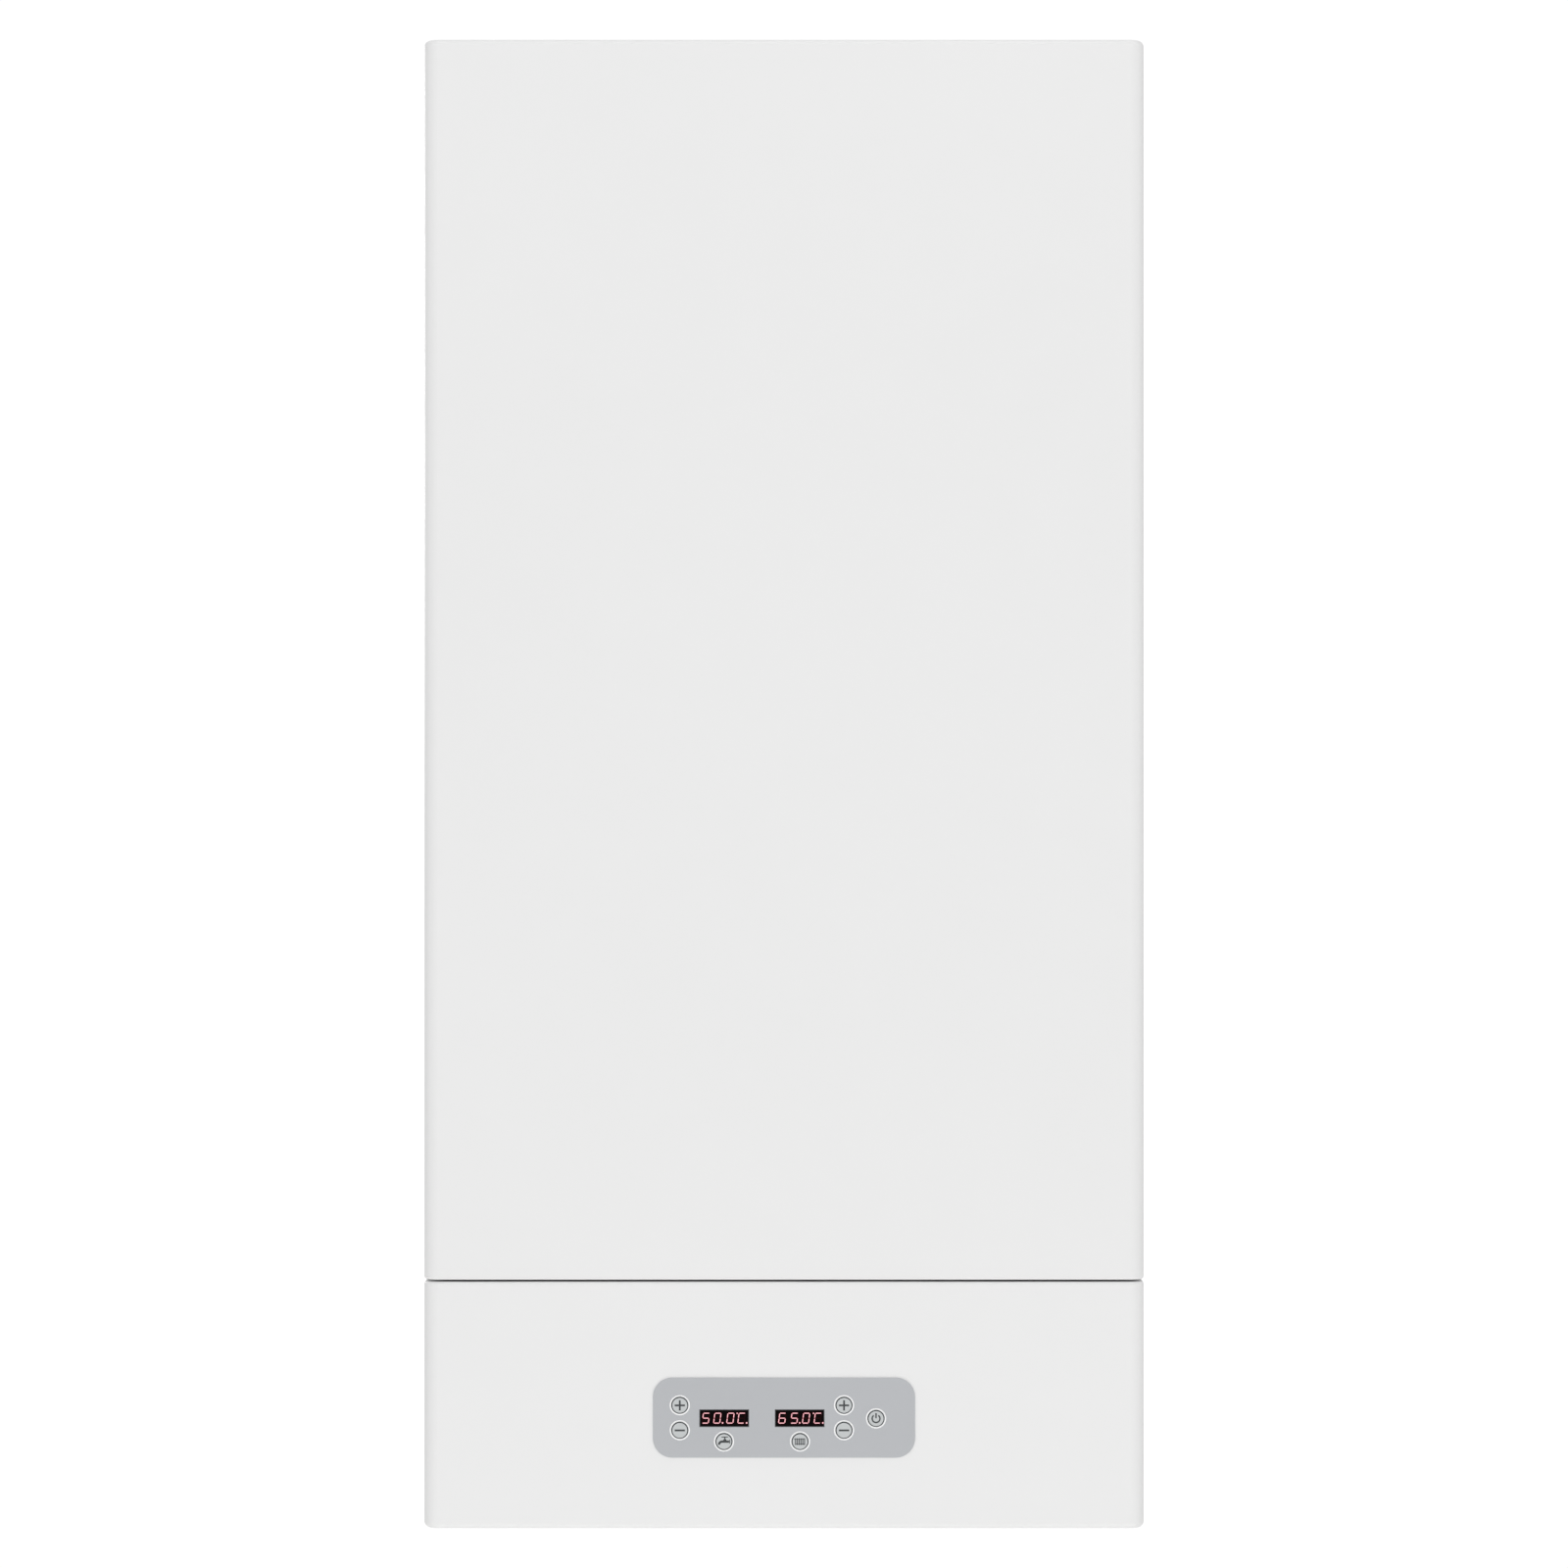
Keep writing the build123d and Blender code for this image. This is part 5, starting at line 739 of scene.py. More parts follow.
# %% Lathe
def turned(profile, centre, axis, steps=64):
    """Turns (radius, along) points round an axis through a centre, all in mm."""
    bm = bmesh.new()
    centre = Vector(centre) * MM
    along = {"X": Vector((1, 0, 0)), "Y": Vector((0, 1, 0)), "Z": Vector((0, 0, 1))}[axis]
    side = along.orthogonal().normalized()
    other = along.cross(side)
    rings = []
    for radius, distance in profile:
        ring = []
        for i in range(steps if radius else 1):
            turn = 2 * math.pi * i / steps
            out = side * math.cos(turn) + other * math.sin(turn)
            ring.append(bm.verts.new(centre + along * distance * MM + out * radius * MM))
        rings.append(ring)
    pairs = list(zip(rings, rings[1:])) + ([(rings[-1], rings[0])] if profile[0][0] else [])
    for a, b in pairs:
        for i in range(steps):
            j = (i + 1) % steps
            quad = [a[i % len(a)], a[j % len(a)], b[j % len(b)], b[i % len(b)]]
            quad = [v for k, v in enumerate(quad) if v not in quad[:k]]
            if len(quad) > 2:
                bm.faces.new(quad)
    return closed_mesh(bm)


def mirrored(half):
    """The reflection of a profile and then the profile, from its end to its start."""
    return [(radius, -along) for radius, along in half] + half[::-1]


DARK_RING = [(4.26, -0.03), (4.84, 0.30), (4.84, 0.36), (4.26, 0.03)]
for name in SIGNS:
    ring = turned(DARK_RING, [v / MM for v in front_of(name)], "Y")
    new_piece(name + "_ring", ring, grey_ink, name, smooth=20)
print("dark rings of", len(ring.polygons), "faces")

# %% [markdown]
# ## Rings by geometry nodes
#
# The white rings round the buttons are all alike, so one node tree makes them: a
# circle with a flat strip as its profile, copied to every point of a small mesh.
# Sizes are inputs of the tree. The result is turned into a plain mesh at the end,
# because an exported model keeps no node trees.


# %% Node tree helper
class Tree:
    """A geometry node tree with named inputs."""

    def __init__(self, name, **inputs):
        self.group = bpy.data.node_groups.new(name, "GeometryNodeTree")
        self.inputs, self.sockets = inputs, {}
        self.socket("Points", "INPUT", "Geometry")
        for label, value in inputs.items():
            kind = {float: "Float", int: "Int", tuple: "Vector"}.get(type(value))
            other = "Object" if isinstance(value, bpy.types.Object) else "Material"
            socket = self.socket(label, "INPUT", kind or other)
            if kind:
                socket.default_value = value
            self.sockets[label] = socket.identifier
        self.socket("Geometry", "OUTPUT", "Geometry")
        self.inside = self.group.nodes.new("NodeGroupInput")
        self.outside = self.group.nodes.new("NodeGroupOutput")

    def socket(self, label, way, kind):
        return self.group.interface.new_socket(label, in_out=way, socket_type="NodeSocket" + kind)

    def __getitem__(self, label):
        return self.inside.outputs[label]

    def node(self, kind, links=None, **settings):
        """Adds a node; links maps its inputs to nodes, outputs or values."""
        made = self.group.nodes.new(kind)
        for key, value in settings.items():
            setattr(made, key, value)
        for socket, value in (links or {}).items():
            if isinstance(value, bpy.types.Node):
                value = value.outputs[0]
            if isinstance(value, bpy.types.NodeSocket):
                self.group.links.new(value, made.inputs[socket])
            else:
                made.inputs[socket].default_value = value
        return made

    def calc(self, operation, a, b):
        return self.node("ShaderNodeMath", {0: a, 1: b}, operation=operation)

    def scatter(self, shape, **links):
        """Copies a shape to every point and ends the tree: real geometry, with its material."""
        links = {"Points": self["Points"], "Instance": shape, **links}
        copies = self.node("GeometryNodeInstanceOnPoints", links)
        real = self.node("GeometryNodeRealizeInstances", {0: copies})
        look = {"Geometry": real, "Material": self["Finish"]}
        painted = self.node("GeometryNodeSetMaterial", look)
        self.group.links.new(painted.outputs[0], self.outside.inputs[0])
        print("tree", self.group.name, "of", len(self.group.nodes), "nodes")

    def grow(self, name, points, **values):
        """Runs the tree on points in mm and returns a plain mesh."""
        seed = bpy.data.meshes.new(name + "_points")
        seed.from_pydata([[v * MM for v in point] for point in points], [], [])
        holder = bpy.data.objects.new(name + "_grown", seed)
        scene.collection.objects.link(holder)
        modifier = holder.modifiers.new("tree", "NODES")
        modifier.node_group = self.group
        for label, value in {**self.inputs, **values}.items():
            modifier[self.sockets[label]] = value
        grown = holder.evaluated_get(bpy.context.evaluated_depsgraph_get())
        mesh = bpy.data.meshes.new_from_object(grown)
        mesh.name = name
        holder.modifiers.clear()
        bpy.data.objects.remove(holder)
        return mesh


# %% Ring tree
ring_tree = Tree(
    "flat_rings", Radius=5.32 * MM, Width=0.84 * MM, Height=0.05 * MM,
    Turn=(math.radians(90), 0.0, 0.0), Finish=white_ink.material,
)
circle = ring_tree.node(
    "GeometryNodeCurvePrimitiveCircle", {"Resolution": 72, "Radius": ring_tree["Radius"]},
)
strip = ring_tree.node(
    "GeometryNodeCurvePrimitiveQuadrilateral",
    {"Width": ring_tree["Width"], "Height": ring_tree["Height"]},
)
loop = ring_tree.node("GeometryNodeCurveToMesh", {"Curve": circle, "Profile Curve": strip})
ring_tree.scatter(loop, Rotation=ring_tree["Turn"])
PAD_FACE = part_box("keypad_overlay")[0].y / MM
centres = []
for name in SIGNS:
    x, y, z = front_of(name)
    centres.append((x / MM, PAD_FACE - 0.01, z / MM))
rings = ring_tree.grow("keypad_rings", centres)
new_piece("keypad_rings", rings, white_ink, "control_panel", smooth=30)
print("keypad rings:", len(rings.polygons), "faces")

# %% [markdown]
# ## Digits
#
# Each display shows four characters of seven segments, leaning slightly to the
# right. The left one reads the tap water's temperature and the right one the
# heating's. A lit segment is a bright core over a slightly larger red rim; the
# others show as dark red strokes by a faint painted glow, with no light behind them.

# %% Segments
DIGIT_H, DIGIT_W, STROKE, LEAN, TIP = 6.2, 4.1, 0.58, 0.8, 0.10
RISE, REACH = (DIGIT_H - STROKE) / 2, (DIGIT_W - STROKE) / 2


def segment(letter, across, grow):
    """Six-cornered stroke, leaning with the digit; grow widens it all round."""
    half = STROKE / 2 + grow
    level = {"a": RISE, "g": 0.0, "d": -RISE}.get(letter)
    if level is not None:
        end = REACH - TIP + grow
        points = [
            (-end, level), (half - end, level - half), (end - half, level - half),
            (end, level), (end - half, level + half), (half - end, level + half),
        ]
    else:
        x = REACH if letter in "bc" else -REACH
        start, stop = (TIP, RISE - TIP) if letter in "bf" else (TIP - RISE, -TIP)
        start, stop = start - grow, stop + grow
        points = [
            (x, start), (x + half, start + half), (x + half, stop - half),
            (x, stop), (x - half, stop - half), (x - half, start + half),
        ]
    return [(u + LEAN * v / DIGIT_H + across, v) for u, v in points]


# %% Displays
SHAPES = {"5": "afgcd", "6": "afgedc", "0": "abcdef", "C": "afed"}
# a window's middle, its four characters and their places
WINDOWS = {
    "water": (-34.0, "500C", (-10.4, -3.9, 3.55, 9.85)),
    "heating": (8.9, "650C", (-9.9, -3.0, 3.65, 10.3)),
}
WINDOW_HEIGHT = 63.1
LED_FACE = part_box("led_displays")[0].y
WIDE, TALL, LINE = 28.3 / 2, 10.1 / 2, 0.42
window_rim = [
    bar(-WIDE, WIDE, TALL - LINE, TALL), bar(-WIDE, WIDE, -TALL, LINE - TALL),
    bar(-WIDE, LINE - WIDE, LINE - TALL, TALL - LINE),
    bar(WIDE - LINE, WIDE, LINE - TALL, TALL - LINE),
]
for which, (window, text, places) in WINDOWS.items():
    bright, rim, dark = [], [], []
    for place, letter in zip(places, text):
        for each in "abcdefg":
            if each in SHAPES[letter]:
                bright.append(segment(each, place, -0.08))
                rim.append(segment(each, place, 0.07))
            else:
                dark.append(segment(each, place, -0.04))
    points = (places[1] + 3.0, -2.7, 0.42), (places[3] + 2.9, -2.7, 0.42)
    degree = (places[3] - 2.45, 2.75, 0.34)
    for x, z, radius in (*points, degree):
        bright.append(arc(x, z, radius, 0, 342, 19))
        rim.append(arc(x, z, radius + 0.14, 0, 342, 19))
    # the unlit layer is a faint painted glow on the segments that are off
    layers = {
        "_digits_unlit": (dark, unlit_painted_glow, 0.02), "_digits_rim": (rim, halo, 0.03),
        "_digits_lit": (bright, lit, 0.05), "_window_rim": (window_rim, frame_ink, 0.36),
    }
    x, z = window * MM, CASING_LOW + WINDOW_HEIGHT * MM
    for layer, (outlines, finish, thick) in layers.items():
        mesh = plates(outlines, x, z, LED_FACE, thick * MM)
        new_piece(which + layer, mesh, finish, "control_panel")
print("digits in", list(WINDOWS))

# %% [markdown]
# ## Prisms and hexagons
#
# Nuts, strips and blocks are an outline pushed along an axis. Their ends are trimmed a
# little, because a real edge is never sharp and its bevel catches the light.

# %% Prism helpers
PLANES = {"Y": (0, 2, 1), "Z": (0, 1, 2)}


def prism(outline, axis, low, high, trim, centre=(0, 0, 0)):
    """Pushes an outline from low to high along an axis through a centre, all in mm."""
    bm = bmesh.new()
    across, up, along = PLANES[axis]
    mid_u = sum(u for u, v in outline) / len(outline)
    mid_v = sum(v for u, v in outline) / len(outline)
    rings = []
    for place, inset in ((low, trim), (low + trim, 0), (high - trim, 0), (high, trim)):
        ring = []
        for u, v in outline:
            away = Vector((u - mid_u, v - mid_v))
            corner = Vector((math.copysign(1, away.x), math.copysign(1, away.y)))
            away = corner if len(outline) == 4 else away.normalized()
            spot = Vector(centre)
            spot[across] += u - away.x * inset
            spot[up] += v - away.y * inset
            spot[along] += place
            ring.append(bm.verts.new(spot * MM))
        rings.append(ring)
    bm.faces.new(rings[0])
    bm.faces.new(rings[-1][::-1])
    for a, b in zip(rings, rings[1:]):
        wall(bm, a, b)
    return closed_mesh(bm)


def block(x0, x1, y0, y1, z0, z1, trim):
    """Block between six planes in mm, with trimmed front and rear edges."""
    return prism(bar(x0, x1, z0, z1), "Y", y0, y1, trim)


def hexagon(half_flats):
    return arc(0, 0, half_flats / math.cos(math.radians(30)), 0, 300, 5)


# %% [markdown]
# ## Threaded pipe stubs
#
# Five stubs come out of the bottom. Four have a parallel pipe thread below the casing
# for the installer and another above it for the locknut; the drain stays plain. Each
# stub is turned from one profile. The thread is a real helix: a node tree sweeps a
# triangle along a spiral, and lets it run out thin at both ends as a cut thread does.

# %% Thread tree
THREAD_PITCH, THREAD_DEPTH = 1.814, 1.16
thread_tree = Tree(
    "pipe_thread", Root=12.06 * MM, Depth=THREAD_DEPTH * MM, Pitch=THREAD_PITCH * MM,
    Length=15.0 * MM, Finish=brass.material,
)
root, length = thread_tree["Root"], thread_tree["Length"]
helix = thread_tree.node("GeometryNodeCurveSpiral", {
    "Resolution": 40, "Rotations": thread_tree.calc("DIVIDE", length, thread_tree["Pitch"]),
    "Start Radius": root, "End Radius": root, "Height": length,
})
upright = thread_tree.node("GeometryNodeSetCurveNormal", {"Curve": helix}, mode="Z_UP")
# a circle of three points is the tooth: its crest one depth out, its foot sunk a little
triangle = thread_tree.node("GeometryNodeCurvePrimitiveCircle", {"Resolution": 3, "Radius": 1.0})
tall, wide, sunk = [
    thread_tree.calc("MULTIPLY", thread_tree[label], share)
    for label, share in (("Depth", 0.7333), ("Pitch", 0.485), ("Depth", -0.2667))
]
tooth = thread_tree.node("GeometryNodeTransform", {
    "Geometry": triangle, "Rotation": (0.0, 0.0, math.pi),
    "Translation": thread_tree.node("ShaderNodeCombineXYZ", {0: sunk}),
    "Scale": thread_tree.node("ShaderNodeCombineXYZ", {0: tall, 1: wide, 2: 1.0}),
})
way = thread_tree.node("GeometryNodeSplineParameter")
nearest_end = thread_tree.calc("MINIMUM", way, thread_tree.calc("SUBTRACT", 1.0, way))
run_out = thread_tree.node("ShaderNodeMapRange", {0: nearest_end, 1: 0.0, 2: 0.06, 3: 0.04, 4: 1.0})
ridge = thread_tree.node("GeometryNodeCurveToMesh", {
    "Curve": upright, "Profile Curve": tooth, "Scale": run_out, "Fill Caps": True,
})
thread_tree.scatter(ridge)

# %% Stubs
STUB_Y, STUB_LOW, STUB_LENGTH = -115.0, -808.0, 58.0
# place across and radius over the thread
STUBS = {
    "flow": (-130, 13.22), "hot": (-65, 10.48), "drain": (0, 7.5), "cold": (65, 10.48),
    "return": (130, 13.22),
}
# start and length of a thread below the casing and of one for the locknut
THREADED = ((0.9, 14.6), (19.6, 14.0))
stub_meshes, thread_meshes = [], []
for which, (x, crest) in STUBS.items():
    plain = which == "drain"
    bore = crest - (1.0 if plain else 3.0)
    root = crest - (0.0 if plain else THREAD_DEPTH)
    collar = crest + 3
    trim = 0.25 if plain else 0.6
    profile = [
        (bore + trim, 0), (root - trim, 0), (root, trim), (root, 16), (collar - 0.4, 16),
        (collar, 16.4), (collar, 18.6), (collar - 0.4, 19), (root, 19), (root, 33.5), (crest, 34.2),
        (crest, STUB_LENGTH - trim), (crest - trim, STUB_LENGTH), (bore + trim, STUB_LENGTH),
        (bore, STUB_LENGTH - trim), (bore, trim),
    ]
    stub_meshes.append(turned(profile, (x, STUB_Y, STUB_LOW), "Z"))
    for start, length in () if plain else THREADED:
        foot = (x, STUB_Y, STUB_LOW + start)
        thread_meshes.append(thread_tree.grow("thread", [foot], Root=root * MM, Length=length * MM))
stubs = new_piece("threaded_stubs", stub_meshes, brass, "casing", smooth=30)
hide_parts("pipe_stubs")
ridges = new_piece("stub_threads", thread_meshes, brass, "casing", smooth=40)
axis = Vector((STUBS["return"][0], STUB_Y)) * MM
reach = max((v.co.xy - axis).length for v in ridges.data.vertices if v.co.x > 0.1)
print("thread reaches", round(reach / MM, 2), "mm out;", len(ridges.data.polygons), "faces")

# %% [markdown]
# ## Screws with a cross recess
#
# The casing's screws are pan heads with a cross recess. One screw is built point by
# point, with the recess sunk into its head, and a node tree then sets a copy at every
# screw's place. The same screw, scaled, serves the board, the terminals and the pump.


# %% Screw
def cross_screw(radius, rise, shank, length, lead=1.2):
    """Screw in mm with its seat at height 0; the shank hangs below."""
    core, top = shank * 0.8, shank - length
    profile = [(shank * 0.45, -length), (core, top)]
    for i in range(int(-top / lead)):
        profile += [(shank, top + (i + 0.5) * lead), (core, top + (i + 0.95) * lead)]
    profile += [(core, -0.05), (radius * 0.96, 0), (radius, rise * 0.3)]
    profile += [(radius * 0.94, rise * 0.68), (radius * 0.68, rise)]
    bm = bmesh.new()
    rings = []
    for size, level in profile:
        rings.append([bm.verts.new((u, v, level)) for u, v in arc(0, 0, size, 0, 345, 23)])
    for a, b in zip(rings, rings[1:]):
        wall(bm, a, b)
    bm.faces.new(rings[0][::-1])
    recess = cross(radius * 0.52, radius * 0.14)
    mouth = [bm.verts.new((u, v, rise)) for u, v in recess]
    sole = [bm.verts.new((u * 0.72, v * 0.72, rise * 0.25)) for u, v in recess]
    wall(bm, mouth, sole)
    bm.faces.new(sole)
    rims = []
    for ring in (rings[-1], mouth):
        rims += [bm.edges.get((ring[i - 1], ring[i])) for i in range(len(ring))]
    bmesh.ops.triangle_fill(bm, use_beauty=True, edges=rims)
    bmesh.ops.scale(bm, vec=(MM, MM, MM), verts=bm.verts)
    pattern = bpy.data.objects.new("casing_screw_pattern", closed_mesh(bm))
    scene.collection.objects.link(pattern)
    return pattern


UPWARDS, DOWNWARDS, FORWARDS = (0.0, 0.0, 0.0), (math.pi, 0.0, 0.0), (math.pi / 2, 0.0, 0.0)
screw = cross_screw(radius=3.6, rise=1.6, shank=1.95, length=7.0)
copy_tree = Tree("copies", Pattern=screw, Turn=UPWARDS, Size=1.0, Finish=plating.material)
source = copy_tree.node("GeometryNodeObjectInfo", {"Object": copy_tree["Pattern"]})
copy_tree.scatter(source.outputs["Geometry"], Rotation=copy_tree["Turn"], Scale=copy_tree["Size"])

# %% Casing screws
SCREW_X, SCREW_Y, TOP_SEAT, BOTTOM_SEAT = 197.5, (-238.8, -43.0), 57.0, -790.0
corners = [(side * SCREW_X, y) for side in (-1, 1) for y in SCREW_Y]
made = [
    copy_tree.grow("upper", [(x, y, TOP_SEAT) for x, y in corners]),
    copy_tree.grow("lower", [(x, y, BOTTOM_SEAT) for x, y in corners], Turn=DOWNWARDS),
]
casing_heads = new_piece("cross_casing_screws", made, plating, "casing", smooth=35)
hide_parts("casing_screws")
print("casing screws:", len(casing_heads.data.polygons), "faces")

# %% [markdown]
# ## Small screws inside
#
# Terminals of the clamp strip and of the contactor, the corners of the main board and
# the lid of the pump's box each take a smaller copy, turned to face the front.

# %% Inner screws
# scale and places of each kind
INNER_SCREWS = {
    "strip": (0.92, [(x, -169.6, -381) for x in (-161.6, -146.8, -132.0, -117.2, -102.4)]),
    "contacts": (1.0, [(x, -226.1, z) for x in (-151, -135, -119) for z in (-20.8, -85.2)]),
    "corners": (0.8, [(x, -163.1, z) for x in (-182, -82) for z in (-304, -124)]),
    "lid": (0.75, [(x, -242.0, z) for x in (99, 161) for z in (-566, -514)]),
}
made = [
    copy_tree.grow(kind, places, Turn=FORWARDS, Size=size)
    for kind, (size, places) in INNER_SCREWS.items()
]
inner = new_piece("inner_screws", made, plating, "casing", smooth=35)
bpy.data.objects.remove(screw)
print("inner screws:", len(inner.data.polygons), "faces")

# %% [markdown]
# ## Cable glands
#
# A gland's dome has grip ribs, and a rubber sleeve inside seals the cable. The ribs
# stand on a circle, so a node tree places them: a circle of points, and a slim column
# on each. Their number and sizes are inputs, since the two glands differ in size.

# %% Rib tree and glands
rib_tree = Tree(
    "grip_ribs", Count=20, Ring=14.6 * MM, Rib=0.75 * MM, Length=6.4 * MM,
    Finish=black_plastic.material,
)
feet = rib_tree.node(
    "GeometryNodeMeshCircle", {"Vertices": rib_tree["Count"], "Radius": rib_tree["Ring"]},
)
column = rib_tree.node("GeometryNodeMeshCylinder", {
    "Vertices": 10, "Radius": rib_tree["Rib"], "Depth": rib_tree["Length"],
})
crown = rib_tree.node("GeometryNodeInstanceOnPoints", {"Points": feet, "Instance": column})
rib_tree.scatter(crown)
GLAND_X, DOME_MID = -173.0, -798.8
# place along Y, radius of the dome, radius of the bore and number of ribs
GLANDS = ((-165.0, 14.6, 9.0, 20), (-205.0, 10.1, 4.0, 14))
ribs, sleeves = [], []
for y, dome, bore, count in GLANDS:
    ribs.append(rib_tree.grow("ribs", [(GLAND_X, y, DOME_MID)], Ring=dome * MM, Count=count))
    lip, mouth = bore * 0.72, bore * 0.62
    sleeve = [
        (bore, -803.6), (bore - 0.5, -804.3), (lip, -804.3), (mouth, -803.4), (mouth, -798.0),
        (bore, -798.0),
    ]
    sleeves.append(turned(sleeve, (GLAND_X, y, 0), "Z", 40))
new_piece("gland_ribs", ribs, black_plastic, "casing", smooth=40)
new_piece("gland_sleeves", sleeves, rubber, "casing", smooth=40)
print("gland ribs:", sum(count for *sizes, count in GLANDS))

# %% [markdown]
# ## Beads: welds on the vessel and spot welds on the casing
#
# A weld round the heater's ring is a row of overlapping drops, and a spot weld is a
# shallow dimple. Both are one small ball, squashed and set at many points. The ball
# has few faces, because it is repeated more than a hundred times.

# %% Bead tree
bead_tree = Tree("beads", Size=(1.9 * MM, 1.9 * MM, 1.5 * MM), Finish=stainless.material)
drop = bead_tree.node("GeometryNodeMeshUVSphere", {"Radius": 1.0, "Segments": 8, "Rings": 6})
bead_tree.scatter(drop, Scale=bead_tree["Size"])
VESSEL_X, VESSEL_Y, RING_R, RING_Z, DROPS = 85.0, -203.6, 50.6, -15.6, 144
ring = arc(VESSEL_X, VESSEL_Y, RING_R, 0, 360 - 360 / DROPS, DROPS - 1)
weld = bead_tree.grow("ring_weld", [(x, y, RING_Z) for x, y in ring])
new_piece("ring_weld", weld, stainless, "casing", smooth=60)
SHEET_FACE, SPOT_X = -12.0, 186
spots = [(x, SHEET_FACE, z) for z in range(-765, -60, 88) for x in (-SPOT_X, SPOT_X)]
welds = bead_tree.grow("spot_welds", spots, Size=(3.0 * MM, 0.22 * MM, 3.0 * MM))
new_piece("spot_welds", welds, spangle, "casing", smooth=60)
print("weld drops:", DROPS, "spot welds:", len(spots))

# %% Stiffening beads in the rear sheet
pills = []
for x in (-118, 0, 118):
    pill = arc(x, -95, 8, 0, 180) + arc(x, -730, 8, 180, 360)
    pills.append(prism(pill, "Y", -12.3, -10.4, 0.9))
beads = new_piece("rear_beads", pills, spangle, "casing", smooth=25)
print("rear beads:", len(beads.data.polygons), "faces")

# %% [markdown]
# ## Jacket straps
#
# Two steel straps hold the halves of the foam jacket round the vessel. Each is a thin
# turned band with an over-centre latch in front, and a strip of tape covers the seam
# where the halves meet.

# %% Straps, latches and seam tape
JACKET_R = 94.0
inner, edge, outer = JACKET_R - 0.6, JACKET_R + 0.5, JACKET_R + 0.8
STRAP = mirrored([(inner, 6), (edge, 6), (outer, 5.5)])
LATCH_PIN = mirrored([(0, 7), (1.3, 7), (1.6, 6.7)])
face, left = VESSEL_Y - JACKET_R, VESSEL_X - 14
straps, latches = [], []
for level in (-120.0, -330.0):
    straps.append(turned(STRAP, (VESSEL_X, VESSEL_Y, level), "Z", 96))
    latches += [
        block(left, left + 30, face - 1.6, face + 2.5, level - 8, level + 8, 0.5),
        block(left + 2, left + 22, face - 5.0, face - 2.4, level - 6, level + 6, 0.7),
        block(left + 22, left + 26, face - 4.4, face - 1.0, level - 4, level + 4, 0.4),
        turned(LATCH_PIN, (left + 4, face - 2.6, level), "Z", 20),
    ]
print("straps:", len(straps), "latch parts:", len(latches))
new_piece("jacket_straps", straps, stainless, "casing", smooth=35)
new_piece("strap_latches", latches, plating, "casing", smooth=30)
strip = band(JACKET_R - 0.5, JACKET_R + 0.35, 232, 240, 8)
tape = prism(strip, "Z", -416, -32, 0.0001, (VESSEL_X, VESSEL_Y, 0))
new_piece("seam_tape", tape, black_plastic, "casing", smooth=30)

# %% [markdown]
# ## Lining of the front cover
#
# A bare sheet this large drums like a skin, so a foam mat is glued inside the cover. It
# is an outline with rounded corners and a trimmed rim. It rides on the cover and shows
# when the cover is pulled off.

# %% Lining
INNER_FACE, THICK, HALF_WIDTH, TOP, BOTTOM, CORNER = -318.95, 4.0, 184, 42, -634, 14
right, high, low = HALF_WIDTH - CORNER, TOP - CORNER, BOTTOM + CORNER
mat = []
for i, (x, z) in enumerate(((right, high), (-right, high), (-right, low), (right, low))):
    mat += arc(x, z, CORNER, 90 * i, 90 * (i + 1), 10)
lining = prism(mat, "Y", INNER_FACE, INNER_FACE + THICK, 0.9)
new_piece("cover_lining", lining, foam, "front_cover")
print("lining:", len(lining.polygons), "faces")

# %% [markdown]
# ## Union nuts
#
# Every pipe inside ends in a loose hexagon nut, so that a pump or a valve can be taken
# out. A nut is a hexagonal prism with a turned collar on its open side.

# %% Nuts on the pipe ends
# place across, lower end, upper end and half the width over the flats
UPRIGHT_NUTS = (
    (130, -483, -467, 18.5), (130, -650, -635, 18.5), (-130, -566, -551, 17.0),
    (-130, -649, -634, 17.0), (130, -760, -744, 17.5), (-130, -760, -744, 17.5),
    (65, -760, -747, 14.5), (-65, -760, -746, 14.5), (0, -757, -746, 11.0),
)
nuts = []
for x, low_end, high_end, flats in UPRIGHT_NUTS:
    bore = flats * 0.6
    collar = [(bore, 0), (flats - 1.2, 0), (flats - 1.6, 2.6), (bore, 2.6)]
    nuts.append(prism(hexagon(flats), "Z", low_end, high_end, 0.9, (x, STUB_Y, 0)))
    nuts.append(turned(collar, (x, STUB_Y, high_end - 0.4), "Z", 40))
for x, z in ((-65, -625), (-65, -665), (65, -625), (65, -665)):
    collar = [(7.0, 0), (10.4, 0), (10.0, -2.2), (7.0, -2.2)]
    nuts.append(prism(hexagon(12.0), "Y", -97.5, -86.0, 0.8, (x, 0, z)))
    nuts.append(turned(collar, (x, -97.1, z), "Y", 36))
print("union nuts:", len(nuts) // 2)
new_piece("union_nuts", nuts, brass, "casing", smooth=30)

# %% [markdown]
# ## Small parts on the main board
#
# Chips, resistors and a fuse stand between the big parts. The smallest ones lie on a
# regular grid with gaps, some of them turned a quarter: a node tree drops and turns
# them from a fixed seed, so that every run gives the same board.

# %% Chip tree
chip_tree = Tree(
    "chips", Size=(2.0 * MM, 0.7 * MM, 1.2 * MM), Share=1.0, Seed=4, Quarter=0,
    Finish=dark_plastic.material,
)
body = chip_tree.node("GeometryNodeMeshCube", {"Size": chip_tree["Size"]})
keep = chip_tree.node(
    "FunctionNodeRandomValue", {"Probability": chip_tree["Share"], "Seed": chip_tree["Seed"]},
    data_type="BOOLEAN",
)
spin = chip_tree.node(
    "FunctionNodeRandomValue", {4: 0, 5: chip_tree["Quarter"], "Seed": chip_tree["Seed"]},
    data_type="INT",
)
angle = chip_tree.calc("MULTIPLY", spin.outputs[2], math.pi / 2)
turn = chip_tree.node("ShaderNodeCombineXYZ", {1: angle})
chip_tree.scatter(body, Selection=keep.outputs[3], Rotation=turn)

